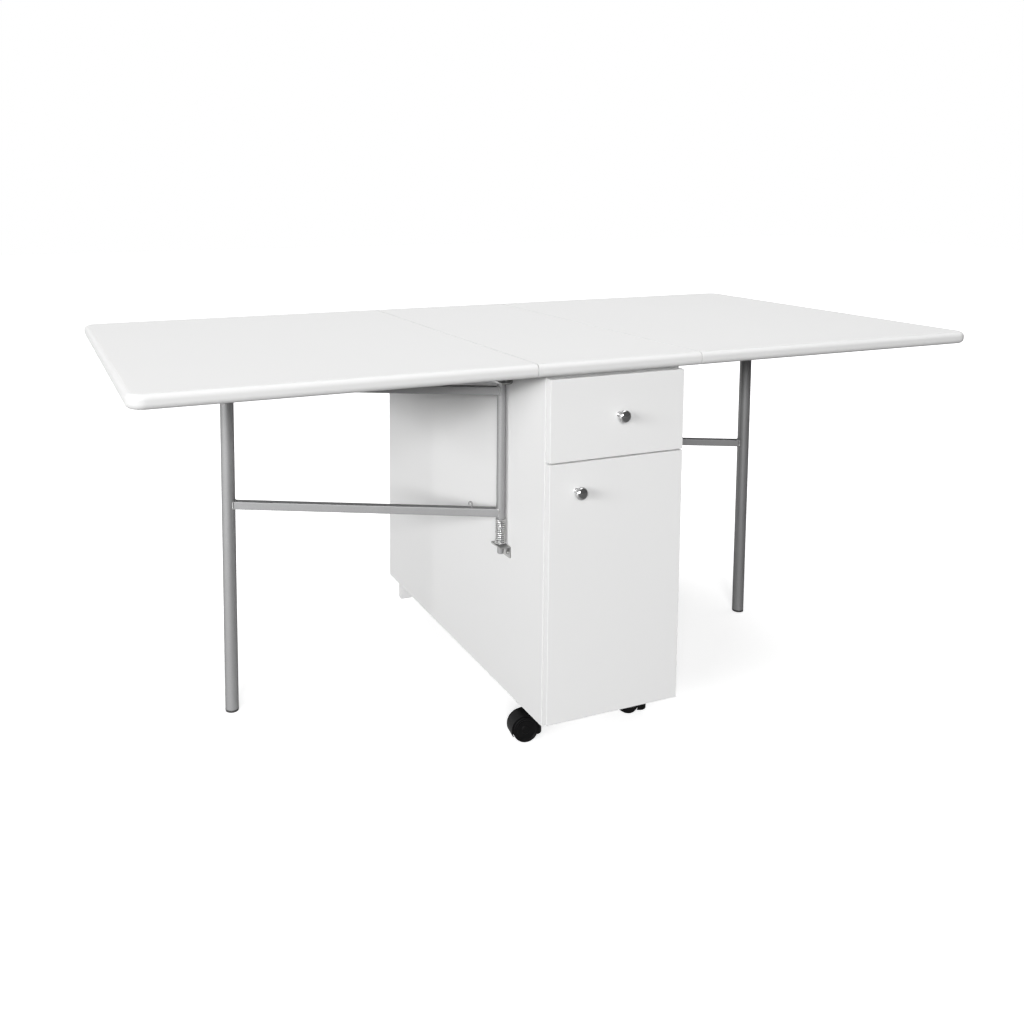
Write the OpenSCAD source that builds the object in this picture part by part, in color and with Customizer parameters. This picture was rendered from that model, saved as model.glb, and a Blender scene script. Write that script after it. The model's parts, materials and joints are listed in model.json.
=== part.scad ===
// Folding cabinet table with two drop leaves, shown open on its two swing-out gates.
// X runs along the open top, Y from the drawer end to the far end, Z up from the floor.
// Everything is drawn about the middle of the top; place() then centres the knobs' reach too.

/* [Top] */
// Length of the open top
top_l = 1750; // [1500:10:1950]
// Width of the top
top_w = 840; // [820:5:900]
// Height of the top's upper face
table_h = 750; // [740:5:780]
// Thickness of the top's boards
top_t = 25; // [22:1:28]
// Length of the fixed centre board along X
centre_l = 348; // [346:1:360]
// Gap at each seam between centre board and leaf
seam_gap = 1.4; // [1.2:0.1:2]
// Radius of the leaves' outer corners in plan
corner_r = 30; // [20:1:60]
// Radius rounded over along the top's edges
edge_r = 10; // [6:0.5:10.5]

/* [Cabinet] */
// Width of the cabinet
cab_w = 288; // [280:1:290]
// Thickness of the cabinet's boards and fronts
panel_t = 16; // [15:0.5:18]
// Distance from the top's front edge to the face of the drawer and door
front_inset = 12; // [6:1:20]
// Distance from the top's rear edge to the cabinet's back
back_inset = 25; // [15:1:40]
// Height of the cabinet's underside above the floor
cab_lift = 64; // [62:1:70]
// Gap between the fronts and the carcass
front_gap = 2; // [1.8:0.1:3]
// Drop from the top's underside to the line between drawer and door
split_drop = 161; // [146:1:175]
// Gap between the drawer front and the door
reveal = 3; // [2:0.5:5]
// How far the fronts stay inside the cabinet's sides
side_reveal = 0.5; // [0.3:0.1:1.5]
// Gap between the drawer front and the top board
head_gap = 7; // [4:1:12]
// How far the door's lower edge lies above the cabinet's underside
door_lift = 9; // [4:1:14]
// Depth of the two rails under the centre board
rail_board_w = 80; // [60:5:100]

/* [Plinth] */
// Inset of the plinth board from each side of the cabinet
plinth_inset = 25; // [15:1:40]
// Length of the foot left at each end of the plinth
plinth_foot = 28; // [20:1:45]
// Height of the plinth's relief between its feet
plinth_relief = 8; // [4:1:20]

/* [Drawer] */
// Length of the drawer box behind its front
drawer_l = 470; // [420:10:480]
// Thickness of the drawer's sides and back
drawer_t = 15; // [14:0.5:16]
// Height of the drawer's sides
drawer_h = 105; // [90:1:110]
// Gap between a drawer side and the cabinet's side
drawer_side_gap = 1; // [0.6:0.1:1.5]
// Lift of the drawer's sides above the drawer front's lower edge
drawer_rise = 19; // [16:1:22]
// Thickness of the drawer's bottom
drawer_floor_t = 4; // [3:0.5:5]
// Depth of the grooves that hold the drawer's bottom
floor_groove = 6; // [4:0.5:7]
// Height of a runner strip
runner_h = 12; // [10:0.5:14]
// Depth of the runner's groove in the drawer side
runner_groove = 8; // [6:0.5:8]

/* [Gates] */
// Distance of a closed gate's leg from the top's nearer end
leg_inset = 125; // [112:1:140]
// Distance of the pivot from the cabinet's side
pivot_out = 13; // [12.5:0.5:14]
// Distance of the pivot from the nearer end of the top
pivot_inset = 175; // [170:1:185]
// Outer diameter of the leg tube
leg_d = 26.9; // [25:0.1:27]
// Wall of the round leg tube
leg_wall = 1.5; // [1:0.1:2]
// Side of the square rails
rail_w = 16; // [12:0.5:17]
// Wall of the square rails
rail_wall = 1.5; // [1:0.1:2]
// Radius of the square rails' outer corners
rail_r = 2.5; // [2.2:0.1:3]
// Height of the lower rail's middle
low_rail_z = 429; // [400:1:460]
// Drop from the top's underside to the upper rail's middle
high_rail_drop = 56; // [54:1:85]
// Outer diameter of the pivot post
post_d = 17.2; // [16.5:0.1:18]
// How far the post runs on below the lower rail
post_below = 4; // [2:0.5:8]
// How far the post runs on above the upper rail
post_above = 7; // [3:0.5:9]
// Height of the rubber tip below the leg tube
tip_h = 5; // [4:0.5:10]
// Thickness of the plug's head on top of the leg tube
plug_h = 2; // [1.5:0.1:3]
// Length of the tip and plug inside the leg tube
plug_in = 14; // [10:1:20]
// Radius rounded over along the tip's and the plug's free faces
plug_r = 1; // [0.5:0.1:1.4]

/* [Gate pivot] */
// Diameter of the pivot rod
rod_d = 12; // [11:0.1:12.5]
// How far the rod reaches below the lower bracket
rod_below = 17; // [10:1:25]
// How far the rod reaches above the upper bracket
rod_above = 7; // [5:0.5:10]
// Radius rounded over at the rod's ends
rod_end_r = 3; // [1:0.5:5]
// Thickness of the angle brackets
bracket_t = 3; // [2:0.5:4]
// Reach of a bracket out from the cabinet
bracket_out = 24; // [22:0.5:26]
// Length of a bracket along the cabinet
bracket_l = 40; // [34:1:50]
// Height of a bracket's flange
bracket_h = 24; // [20:1:30]
// Inner radius of a bracket's bend
bend_r = 1.5; // [0.5:0.5:3]
// Radius of a bracket's free corners
bracket_corner = 2; // [1:0.5:4]
// Distance between a bracket's two screws
bracket_pitch = 20; // [18:1:24]
// Drop from a bracket's plate to its screws
bracket_screw_drop = 15; // [13:0.5:15.5]
// Diameter of the brackets' screws
screw_d = 4.5; // [3.5:0.1:5]
// Length of the springs
spring_l = 51.5; // [45:0.5:60]
// Outer diameter of the springs
spring_d = 22; // [20:0.5:22.5]
// Diameter of the springs' wire
wire_d = 2.4; // [2:0.1:2.6]
// Number of curls in a spring
spring_curls = 12; // [9:1:12]

/* [Gate catch] */
// Distance of the hook from the pivot
hook_at = 56; // [45:1:80]
// Diameter of the hook's wire
hook_d = 3; // [2:0.5:4]
// Height of the hook above the lower rail
hook_h = 12; // [10:1:20]

/* [Leaf hinges] */
// Length of a leaf hinge
leaf_hinge_l = 60; // [50:1:70]
// Width of a leaf hinge's plate from its pin
leaf_plate_w = 27; // [20:0.5:28]
// Thickness of a leaf hinge's plates
leaf_plate_t = 1.5; // [1:0.1:1.8]
// Outer diameter of a leaf hinge's knuckles
leaf_knuckle_d = 4.8; // [4.4:0.1:5]
// Diameter of a leaf hinge's pin
leaf_pin_d = 2.6; // [2:0.1:3]
// How far the middle screw hole of a leaf hinge's plate is set in from the other two
leaf_stagger = 6; // [3:0.5:8]
// Distance of the outer hinges' middles from the top's ends
leaf_hinge_inset = 60; // [40:1:65]

/* [Door hinges] */
// Length of a door hinge
door_hinge_l = 60; // [50:1:80]
// Distance of each door hinge's middle from the door's end
door_hinge_inset = 75; // [60:1:100]
// Thickness of a door hinge's plates
door_plate_t = 0.85; // [0.6:0.05:0.85]
// Outer diameter of a door hinge's knuckles
door_knuckle_d = 5.2; // [4.6:0.1:5.4]
// Diameter of a door hinge's pin
door_pin_d = 2.8; // [2.2:0.1:3]
// Diameter of the hinges' screw holes, of leaf and door alike
hinge_hole_d = 3.6; // [3:0.1:4]
// Distance of the outer screw holes from a hinge plate's long edge
hinge_hole_in = 8; // [7:0.5:9]

/* [Knobs] */
// Diameter of a knob's head
knob_d = 24; // [20:0.5:28]
// Thickness of a knob's head
knob_head = 14; // [10:0.5:18]
// Reach of a knob from the face it is screwed to
knob_reach = 27; // [22:0.5:32]
// Diameter of a knob's foot
knob_foot_d = 10; // [8:0.5:14]
// Diameter of a knob's stem
knob_stem_d = 6.5; // [5.5:0.5:8]
// Diameter of a knob's machine screw
knob_screw_d = 4; // [3:0.5:4]
// Height of the drawer's knob above the line between drawer and door
drawer_knob_up = 80; // [56:1:96]
// Distance of the door's knob from the door's free edge
door_knob_in = 55; // [40:1:80]
// Distance of the door's knob below the door's upper edge
door_knob_down = 52; // [40:1:80]

/* [Door catch] */
// Distance of the magnet from the cabinet's left inner side
magnet_in = 28; // [10:1:80]
// Width of the magnet
magnet_w = 40; // [30:1:50]
// Depth of the magnet
magnet_l = 18; // [14:1:24]
// Height of the magnet
magnet_h = 13; // [10:0.5:16]
// Thickness of the strike plate on the door
strike_t = 1.2; // [0.8:0.1:1.4]

/* [Casters] */
// Wheel diameter
wheel_d = 50; // [48:1:52]
// Width of one wheel
wheel_w = 10.4; // [9:0.2:12]
// Distance from the swivel axis to the wheels' axle
trail = 20; // [18:0.5:24]
// Distance of a caster's swivel axis from the cabinet's side
caster_in = 24; // [22:1:40]
// Distance of the swivel axes from the top's front edge
caster_back = 103; // [80:1:140]
// Side of the square mounting plates
plate_w = 38; // [34:1:42]
// Thickness of the mounting plates
plate_t = 2.5; // [2:0.1:3]
// Radius of the mounting plates' corners
plate_corner = 4; // [2:0.5:8]
// Diameter of the swivel's king pin
king_pin_d = 8; // [6:0.5:9]
// Thickness of the web between the wheels
web_t = 13; // [12:0.5:16]
// Diameter of the axle
axle_d = 5; // [4:0.5:6]
// Turn of the left caster's trail from +X
left_trail_turn = 170; // [120:5:220]
// Turn of the right caster's trail from +X
right_trail_turn = 125; // [90:5:160]

/* [Hidden] */
// Radial clearance of a shaft that turns in its bore
run = 0.06;
// Clearance between pieces of different bodies that lie close
gap = 0.3;
// Clearance round a screw or pin that only passes through
pass = 0.15;
// Sides of round pieces
$fn = 48;

// Leaves and top
half_w = top_w / 2;
top_under = table_h - top_t;
seam_x = centre_l / 2;
leaf_l = top_l / 2 - seam_x - seam_gap;
leaf_x = seam_x + seam_gap;
hinge_x = seam_x + seam_gap / 2;
leaf_axis_z = top_under - leaf_knuckle_d / 2 - 0.1;

// Cabinet
side_x = cab_w / 2;
inner_x = side_x - panel_t;
front_y = -half_w + front_inset;
front_back_y = front_y + panel_t;
carcass_y = front_back_y + front_gap;
back_y = half_w - back_inset;
back_in_y = back_y - panel_t;
floor_in_z = cab_lift + panel_t;
split_z = top_under - split_drop;
divider_z = split_z - panel_t / 2;
front_x = side_x - side_reveal;
door_z0 = cab_lift + door_lift;
door_z1 = split_z - reveal / 2;
drawer_z0 = split_z + reveal / 2;
drawer_z1 = top_under - head_gap;
drawer_knob_z = split_z + drawer_knob_up;

// Drawer box
drawer_x = inner_x - drawer_side_gap;
drawer_in_x = drawer_x - drawer_t;
drawer_back_y = front_back_y + drawer_l;
box_z0 = drawer_z0 + drawer_rise;
box_z1 = box_z0 + drawer_h;
floor_lift = 8;
floor_z0 = box_z0 + floor_lift;
floor_z1 = floor_z0 + drawer_floor_t;
runner_z = box_z0 + drawer_h / 2;
runner_stop = 20;

// Gates
pivot_x = side_x + pivot_out;
pivot_y = -half_w + pivot_inset;
arm = top_w - pivot_inset - leg_inset;
open_turn = asin(-pivot_y / arm);
leg_top = top_under - gap;
high_rail_z = top_under - high_rail_drop;
post_z0 = low_rail_z - rail_w / 2 - post_below;
post_z1 = high_rail_z + rail_w / 2 + post_above;
low_plate_z = post_z0 - spring_l - gap - 0.2;
high_plate_z = post_z1 + gap;
rod_z0 = low_plate_z - bracket_t - rod_below;
rod_z1 = high_plate_z + bracket_t + rod_above;
stop_t = 12;
stop_l = 40;
stop_h = 14;
stop_corner = 3;
pan_d = screw_d * 1.8;
pan_h = screw_d * 0.5;

// Door
door_axis_x = side_x + door_knuckle_d / 2 + 0.6;
door_axis_y = (front_back_y + carcass_y) / 2;
door_plate_w = panel_t - 1;
door_hinge_zs = [door_z0 + door_hinge_inset, door_z1 - door_hinge_inset];
door_knob_x = -front_x + door_knob_in;
door_knob_z = door_z1 - door_knob_down;
magnet_x = -inner_x + magnet_in;

// Knobs
knob_mid = knob_reach - knob_head / 2;
knob_proud = max(0, knob_reach - front_inset);
knob_screw_in = 9;
screw_head_d = 8;
screw_head_h = 2.2;

// Casters
caster_x = side_x - caster_in;
caster_y = -half_w + caster_back;
wheel_r = wheel_d / 2;
wheel_side_gap = 0.5;
well_gap = 1.2;
hood_wall = 2;
hood_r = wheel_r + well_gap + hood_wall;
hood_half_w = web_t / 2 + wheel_side_gap + wheel_w - 1.5;
raceway_d = 20;
raceway_h = 3.2;
hood_top = cab_lift - plate_t - raceway_h;
hood_front_r = 16.5;
hood_cut_z = 13;
king_pin_z0 = 36;

// Left and right pieces are one shape turned half round about the middle of the top
module half_turn(right) rotate([0, 0, right ? 180 : 0]) children();
module place() translate([0, knob_proud / 2, 0]) children();

// A block between two corners
module block(low, high) translate(low) cube(high - low);

// Strip from x = 0 to its reach, its two outer corners rounded by r
module rounded_strip(reach, height, r) {
    square([reach - r, height]);
    translate([0, r]) square([reach, height - 2 * r]);
    for (y = [r, height - r]) translate([reach - r, y]) circle(r = r);
}
// Strip from x = 0 to its reach, only its outer corner at y = 0 rounded by r
module capped_strip(reach, height, r) {
    q = min(r, height / 2);
    square([reach - q, height]);
    translate([0, q]) square([reach, height - q]);
    translate([reach - q, q]) circle(r = q);
}
// Plate about the origin, its four corners rounded by r
module rounded_plate(w, l, r) {
    square([w - 2 * r, l], center = true);
    square([w, l - 2 * r], center = true);
    for (x = [-1, 1], y = [-1, 1]) translate([x * (w / 2 - r), y * (l / 2 - r)]) circle(r = r);
}

// Half-outline of a board's rounded edge, from its middle to its outer end at x = reach
module edge_outline(reach) rounded_strip(reach, top_t, edge_r);

// Straight stretch of rounded edge along +X, outer side towards +Y
module edge_run(length, reach) rotate([90, 0, 90]) linear_extrude(length) edge_outline(reach);

// Drop leaf: square seam at x = 0, rounded front, rear and outer edges, rounded outer corners
module leaf_board(length) {
    straight = length - corner_r;
    for (m = [0, 1]) mirror([0, m, 0]) {
        edge_run(straight, half_w);
        translate([straight, half_w - corner_r, 0])
            rotate_extrude(angle = 90) edge_outline(corner_r);
    }
    translate([straight - 1, 0, 0]) for (m = [0, 1]) mirror([0, m, 0])
        rotate([90, 0, 0]) mirror([0, 0, 1]) linear_extrude(half_w - corner_r) edge_outline(corner_r + 1);
}

module centre_top() place() color("white") translate([-seam_x, 0, top_under])
    for (m = [0, 1]) mirror([0, m, 0]) edge_run(centre_l, half_w);

module left_leaf() place() color("white") translate([-leaf_x, 0, top_under]) mirror([1, 0, 0]) leaf_board(leaf_l);
module right_leaf() place() color("white") translate([leaf_x, 0, top_under]) leaf_board(leaf_l);

// Carcass
module side_panel() block([inner_x, carcass_y, cab_lift], [side_x, back_y, top_under]);
module left_side_panel() place() color("white") mirror([1, 0, 0]) side_panel();
module right_side_panel() place() color("white") side_panel();
module bottom_panel() place() color("white")
    block([-inner_x, carcass_y, cab_lift], [inner_x, back_in_y, floor_in_z]);
module back_panel() place() color("white")
    block([-inner_x, back_in_y, cab_lift], [inner_x, back_y, top_under]);
module drawer_divider() place() color("white")
    block([-inner_x, carcass_y, divider_z], [inner_x, back_in_y, divider_z + panel_t]);
module top_rails() place() color("white") for (y = [carcass_y, back_in_y - rail_board_w])
    block([-inner_x, y, top_under - panel_t], [inner_x, y + rail_board_w, top_under]);

// Plinth board under the far end, relieved so that it stands on its two ends
module rear_plinth() {
    x = side_x - plinth_inset;
    foot_r = 4;
    slope = plinth_relief;
    place() color("white") translate([0, back_y, 0]) rotate([90, 0, 0]) linear_extrude(panel_t) difference() {
        union() {
            translate([-x, foot_r]) square([2 * x, cab_lift - foot_r]);
            translate([-x + foot_r, 0]) square([2 * (x - foot_r), foot_r + 1]);
            for (s = [-1, 1]) translate([s * (x - foot_r), foot_r]) circle(r = foot_r);
        }
        polygon([[-x + plinth_foot, -1], [-x + plinth_foot, 0], [-x + plinth_foot + slope, plinth_relief],
                 [x - plinth_foot - slope, plinth_relief], [x - plinth_foot, 0], [x - plinth_foot, -1]]);
    }
}

// Drawer
module drawer_front() place() color("white") difference() {
    block([-front_x, front_y, drawer_z0], [front_x, front_back_y, drawer_z1]);
    translate([0, front_y, drawer_knob_z]) knob_hole();
}
module drawer_side() difference() {
    block([drawer_in_x, front_back_y, box_z0], [drawer_x, drawer_back_y, box_z1]);
    block([drawer_in_x - 1, front_back_y - 1, floor_z0 - pass],
          [drawer_in_x + floor_groove, drawer_back_y + 1, floor_z1 + pass]);
    block([drawer_x - runner_groove, front_back_y + runner_stop, runner_z - runner_h / 2 - 0.2],
          [drawer_x + 1, drawer_back_y + 1, runner_z + runner_h / 2 + 0.2]);
}
module drawer_left_side() place() color("white") mirror([1, 0, 0]) drawer_side();
module drawer_right_side() place() color("white") drawer_side();
module drawer_back() place() color("white")
    block([-drawer_in_x, drawer_back_y - drawer_t, floor_z1], [drawer_in_x, drawer_back_y, box_z1]);
module drawer_bottom() place() color("whitesmoke")
    block([-drawer_in_x - floor_groove + pass, front_back_y, floor_z0],
          [drawer_in_x + floor_groove - pass, drawer_back_y, floor_z1]);
// Strips on the cabinet's sides that the drawer's grooves slide on
module drawer_runners() place() color("gainsboro") for (m = [0, 1]) mirror([m, 0, 0])
    block([drawer_x - runner_groove + 0.4, front_back_y + runner_stop + gap, runner_z - runner_h / 2],
          [inner_x, drawer_back_y, runner_z + runner_h / 2]);

// Door
module door_panel() place() color("white") difference() {
    block([-front_x, front_y, door_z0], [front_x, front_back_y, door_z1]);
    translate([door_knob_x, front_y, door_knob_z]) knob_hole();
}
module door_magnet() place() color("white")
    block([magnet_x, front_back_y + strike_t + gap, divider_z - magnet_h],
          [magnet_x + magnet_w, front_back_y + strike_t + gap + magnet_l, divider_z]);
module door_strike() place() color("silver")
    block([magnet_x + 4, front_back_y, divider_z - magnet_h + 1],
          [magnet_x + magnet_w - 4, front_back_y + strike_t, divider_z - 1]);

// Turned knob on a thin stem, with the machine screw that holds it from behind
module knob_hole() rotate([-90, 0, 0]) translate([0, 0, -1]) cylinder(d = knob_screw_d + 2 * pass, h = panel_t + 2);
module knob_head_outline() {
    foot_h = 1.6;
    stem_r = knob_stem_d / 2;
    start = acos(stem_r / (knob_d / 2));
    polygon(concat(
        [[0, 0], [knob_foot_d / 2, 0], [knob_foot_d / 2, foot_h], [stem_r + 0.6, foot_h + 0.8], [stem_r, foot_h + 2.4]],
        [for (i = [0:14]) let (a = -start + i * (90 + start) / 14)
            [knob_d / 2 * cos(a), knob_mid + knob_head / 2 * sin(a)]]));
}
module knob(x, z) place() color("silver") translate([x, front_y, z]) rotate([90, 0, 0]) {
    difference() {
        rotate_extrude() knob_head_outline();
        translate([0, 0, -1]) cylinder(d = knob_screw_d, h = knob_screw_in + 1 + gap);
    }
    translate([0, 0, -panel_t]) {
        cylinder(d = knob_screw_d - 0.04, h = panel_t + knob_screw_in);
        translate([0, 0, -screw_head_h]) cylinder(d = screw_head_d, h = screw_head_h);
    }
}
module drawer_knob() knob(0, drawer_knob_z);
module door_knob() knob(door_knob_x, door_knob_z);

// Gates: drawn with the pivot at the origin and the arm along +X, then turned open
module gate_place(right) place() half_turn(right)
    translate([-pivot_x, pivot_y, 0]) rotate([0, 0, 180 - open_turn]) children();
module leg_tube(right) color("darkgray") gate_place(right) translate([arm, 0, tip_h]) difference() {
    cylinder(d = leg_d, h = leg_top - plug_h - tip_h);
    translate([0, 0, -1]) cylinder(d = leg_d - 2 * leg_wall, h = leg_top);
}
// Rubber tip at the floor and plug under the leaf, each with a shank inside the tube
module plug(head_d, head_h) {
    rotate_extrude() capped_strip(head_d / 2, head_h, plug_r);
    translate([0, 0, head_h - 1]) cylinder(d = leg_d - 2 * leg_wall - 0.1, h = plug_in + 1);
}
module leg_plugs(right) color("black") gate_place(right) translate([arm, 0, 0]) {
    plug(leg_d + 0.4, tip_h);
    translate([0, 0, leg_top]) mirror([0, 0, 1]) plug(leg_d, plug_h);
}
module post(right) color("darkgray") gate_place(right) translate([0, 0, post_z0]) difference() {
    cylinder(d = post_d, h = post_z1 - post_z0);
    translate([0, 0, -1]) cylinder(d = rod_d + 2 * run, h = post_z1 - post_z0 + 2);
}
// Square tube with rounded corners, coped to the post and the leg
module gate_rail(right, z) color("darkgray") gate_place(right) translate([0, 0, z]) difference() {
    rotate([90, 0, 90]) linear_extrude(arm) difference() {
        rounded_plate(rail_w, rail_w, rail_r);
        rounded_plate(rail_w - 2 * rail_wall, rail_w - 2 * rail_wall, rail_r - rail_wall);
    }
    translate([0, 0, -rail_w]) cylinder(d = post_d, h = 2 * rail_w);
    translate([arm, 0, -rail_w]) cylinder(d = leg_d, h = 2 * rail_w);
}
// Bent wire hook on the lower rail, near the post
module catch_hook(right) color("darkgray") gate_place(right)
    translate([hook_at, 0, low_rail_z + rail_w / 2]) {
        bend_r = hook_d;
        straight = hook_h - bend_r - hook_d / 2;
        cylinder(d = hook_d, h = straight);
        translate([bend_r, 0, straight]) rotate([90, 0, 0]) rotate_extrude(angle = 180)
            translate([bend_r, 0]) circle(d = hook_d);
        translate([2 * bend_r, 0, straight - 2]) cylinder(d = hook_d, h = 2);
    }
module left_leg_tube() leg_tube(false);
module right_leg_tube() leg_tube(true);
module left_leg_plugs() leg_plugs(false);
module right_leg_plugs() leg_plugs(true);
module left_post() post(false);
module right_post() post(true);
module left_lower_rail() gate_rail(false, low_rail_z);
module right_lower_rail() gate_rail(true, low_rail_z);
module left_upper_rail() gate_rail(false, high_rail_z);
module right_upper_rail() gate_rail(true, high_rail_z);
module left_catch_hook() catch_hook(false);
module right_catch_hook() catch_hook(true);

// Block under a leaf that the open gate's leg comes to rest against
module leg_stop(right) color("whitesmoke") gate_place(right)
    translate([arm, (leg_d + stop_t) / 2 + gap, top_under - stop_h])
        linear_extrude(stop_h) rounded_plate(stop_l, stop_t, stop_corner);
module left_leg_stop() leg_stop(false);
module right_leg_stop() leg_stop(true);

// Pivot hardware: rod, angle brackets, screws and spring
module pivot_place(right) place() half_turn(right) translate([-pivot_x, pivot_y, 0]) children();
module pivot_rod(right) color("silver") pivot_place(right)
    translate([0, 0, rod_z0]) rotate_extrude() rounded_strip(rod_d / 2, rod_z1 - rod_z0, rod_end_r);
// Block from the origin towards -X and -Y, its corner at the origin rounded by r
module bend(w, l, r) translate([-w, -l]) {
    square([w - r, l]);
    square([w, l - r]);
    translate([w - r, l - r]) circle(r = r);
}
// Angle bracket bent from one strip, its plate's outer face at z = 0 and its flange hanging down
module bracket() difference() {
    intersection() {
        translate([pivot_out, bracket_l / 2, 0]) rotate([90, 0, 0]) linear_extrude(bracket_l) difference() {
            bend(bracket_out, bracket_h, bend_r + bracket_t);
            translate([-bracket_t, -bracket_t]) bend(bracket_out, bracket_h, bend_r);
        }
        translate([pivot_out, 0, -bracket_h - 1])
            linear_extrude(bracket_h + 2) rounded_plate(2 * bracket_out, bracket_l, bracket_corner);
        translate([pivot_out - bracket_out - 1, 0, 0]) rotate([90, 0, 90])
            linear_extrude(bracket_out + 2) rounded_plate(bracket_l, 2 * bracket_h, bracket_corner);
    }
    translate([0, 0, -bracket_t - 1]) cylinder(d = rod_d + 0.04, h = bracket_t + 2);
    for (s = [-1, 1]) translate([pivot_out - bracket_t - 1, s * bracket_pitch / 2, -bracket_screw_drop])
        rotate([0, 90, 0]) cylinder(d = screw_d + 2 * pass, h = bracket_t + 2);
}
module lower_bracket(right) color("darkgray") pivot_place(right) translate([0, 0, low_plate_z]) bracket();
module upper_bracket(right) color("darkgray") pivot_place(right)
    translate([0, 0, high_plate_z]) mirror([0, 0, 1]) bracket();
// Pan-head screw along +X into the cabinet's side, its head on the flange
module bracket_screw() rotate([0, 90, 0]) {
    cylinder(d = screw_d, h = bracket_t);
    translate([0, 0, -pan_h]) rotate_extrude() capped_strip(pan_d / 2, pan_h, pan_h / 2);
}
module bracket_screws() color("silver") for (right = [false, true]) pivot_place(right)
    for (s = [-1, 1], z = [low_plate_z - bracket_screw_drop, high_plate_z + bracket_screw_drop])
        translate([pivot_out - bracket_t, s * bracket_pitch / 2, z]) bracket_screw();
module left_pivot_rod() pivot_rod(false);
module right_pivot_rod() pivot_rod(true);
module left_lower_bracket() lower_bracket(false);
module right_lower_bracket() lower_bracket(true);
module left_upper_bracket() upper_bracket(false);
module right_upper_bracket() upper_bracket(true);

// Compression spring: one wire on a helix whose first and last curls lie almost flat
spring_steps = 8;
wire_sides = 6;
coil_r = (spring_d - wire_d) / 2;
flat_pitch = wire_d + 0.6;
rise = spring_l - wire_d - 2 * flat_pitch;
mid_pitch = rise / (spring_curls - 2);
function coil_z(turn) = wire_d / 2 + (
    turn < 1 ? turn * flat_pitch :
    turn > spring_curls - 1 ? flat_pitch + rise + (turn - spring_curls + 1) * flat_pitch :
    flat_pitch + (turn - 1) * mid_pitch);
function coil_point(turn) = [coil_r * cos(360 * turn), coil_r * sin(360 * turn), coil_z(turn)];
function end_point(turn, way) = coil_point(turn) + way * wire_d * [-sin(360 * turn), cos(360 * turn), 0];
spring_points = concat(
    [end_point(0, -1)],
    [for (i = [0:spring_steps * spring_curls]) coil_point(i / spring_steps)],
    [end_point(spring_curls, 1)]);
// Ring of points square to the wire, its radial side kept towards the spring's axis
function wire_ring(i) = let (
    p = spring_points[i],
    last = len(spring_points) - 1,
    a = spring_points[max(i - 1, 0)],
    b = spring_points[min(i + 1, last)],
    t = (b - a) / norm(b - a),
    out = [p[0], p[1], 0] / norm([p[0], p[1], 0]),
    u = (out - (out * t) * t) / norm(out - (out * t) * t),
    v = cross(t, u))
    [for (k = [0:wire_sides - 1]) p + wire_d / 2 * (cos(k * 60) * u + sin(k * 60) * v)];
module spring_wire() {
    rings = len(spring_points);
    points = [for (i = [0:rings - 1]) each wire_ring(i)];
    function at(i, k) = i * wire_sides + k % wire_sides;
    polyhedron(points, concat(
        [for (k = [1:wire_sides - 2]) [at(0, 0), at(0, k), at(0, k + 1)]],
        [for (i = [0:rings - 2], k = [0:wire_sides - 1]) [at(i, k), at(i + 1, k), at(i + 1, k + 1)]],
        [for (i = [0:rings - 2], k = [0:wire_sides - 1]) [at(i, k), at(i + 1, k + 1), at(i, k + 1)]],
        [for (k = [1:wire_sides - 2]) [at(rings - 1, 0), at(rings - 1, k + 1), at(rings - 1, k)]]));
}
// Least gap of the wire to itself, from points over half a curl apart along it
spring_gap = min([for (i = [0:len(spring_points) - 1], j = [i + spring_steps / 2 + 1:len(spring_points) - 1])
    norm(spring_points[i] - spring_points[j])]) - wire_d;
echo(least_gap_of_spring_wire = spring_gap);
module spring(right) color("silver") pivot_place(right) translate([0, 0, low_plate_z + 0.1]) spring_wire();
module left_spring() spring(false);
module right_spring() spring(true);

// Hinge knuckles along +Z: the odd ones carry one plate, the even ones the other
knuckles = 5;
hinge_corner = 2;
module knuckle_row(d, bore, length, first) {
    pitch = length / knuckles;
    for (i = [first:2:knuckles - 1]) translate([0, 0, i * pitch + gap / 2]) difference() {
        cylinder(d = d, h = pitch - gap);
        translate([0, 0, -1]) cylinder(d = bore, h = pitch + 2);
    }
}
// Countersunk hole through a plate, its wide end towards -Y where way is 1
module screw_hole(plate_t, way) {
    over = 0.5;
    rotate([-90 * way, 0, 0]) translate([0, 0, -over])
        cylinder(d1 = hinge_hole_d + 2 * (plate_t + over), d2 = hinge_hole_d - 2 * over, h = plate_t + 2 * over);
}
// One plate with its knuckles: pin on Z, plate towards +X, its free face at y = face
module hinge_half(length, d, pin, plate_w, plate_t, face, first, stagger) {
    pitch = length / knuckles;
    clear = d / 2 + 0.4;
    way = face < 0 ? -1 : 1;
    y0 = face < 0 ? face : face - plate_t;
    difference() {
        union() {
            knuckle_row(d, pin, length, first);
            translate([clear, y0 + plate_t, 0]) rotate([90, 0, 0])
                linear_extrude(plate_t) rounded_strip(plate_w - clear, length, hinge_corner);
            for (i = [first:2:knuckles - 1])
                block([d / 4, y0, i * pitch + gap / 2], [clear + 0.5, y0 + plate_t, (i + 1) * pitch - gap / 2]);
        }
        translate([0, 0, -1]) cylinder(d = pin, h = length + 2);
        for (i = [-1, 0, 1]) {
            x = plate_w - hinge_hole_in - (i == 0 ? stagger : 0);
            translate([x, way > 0 ? y0 : y0 + plate_t, length * (1 / 2 + i / 3)]) screw_hole(plate_t, way);
        }
    }
}

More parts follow.
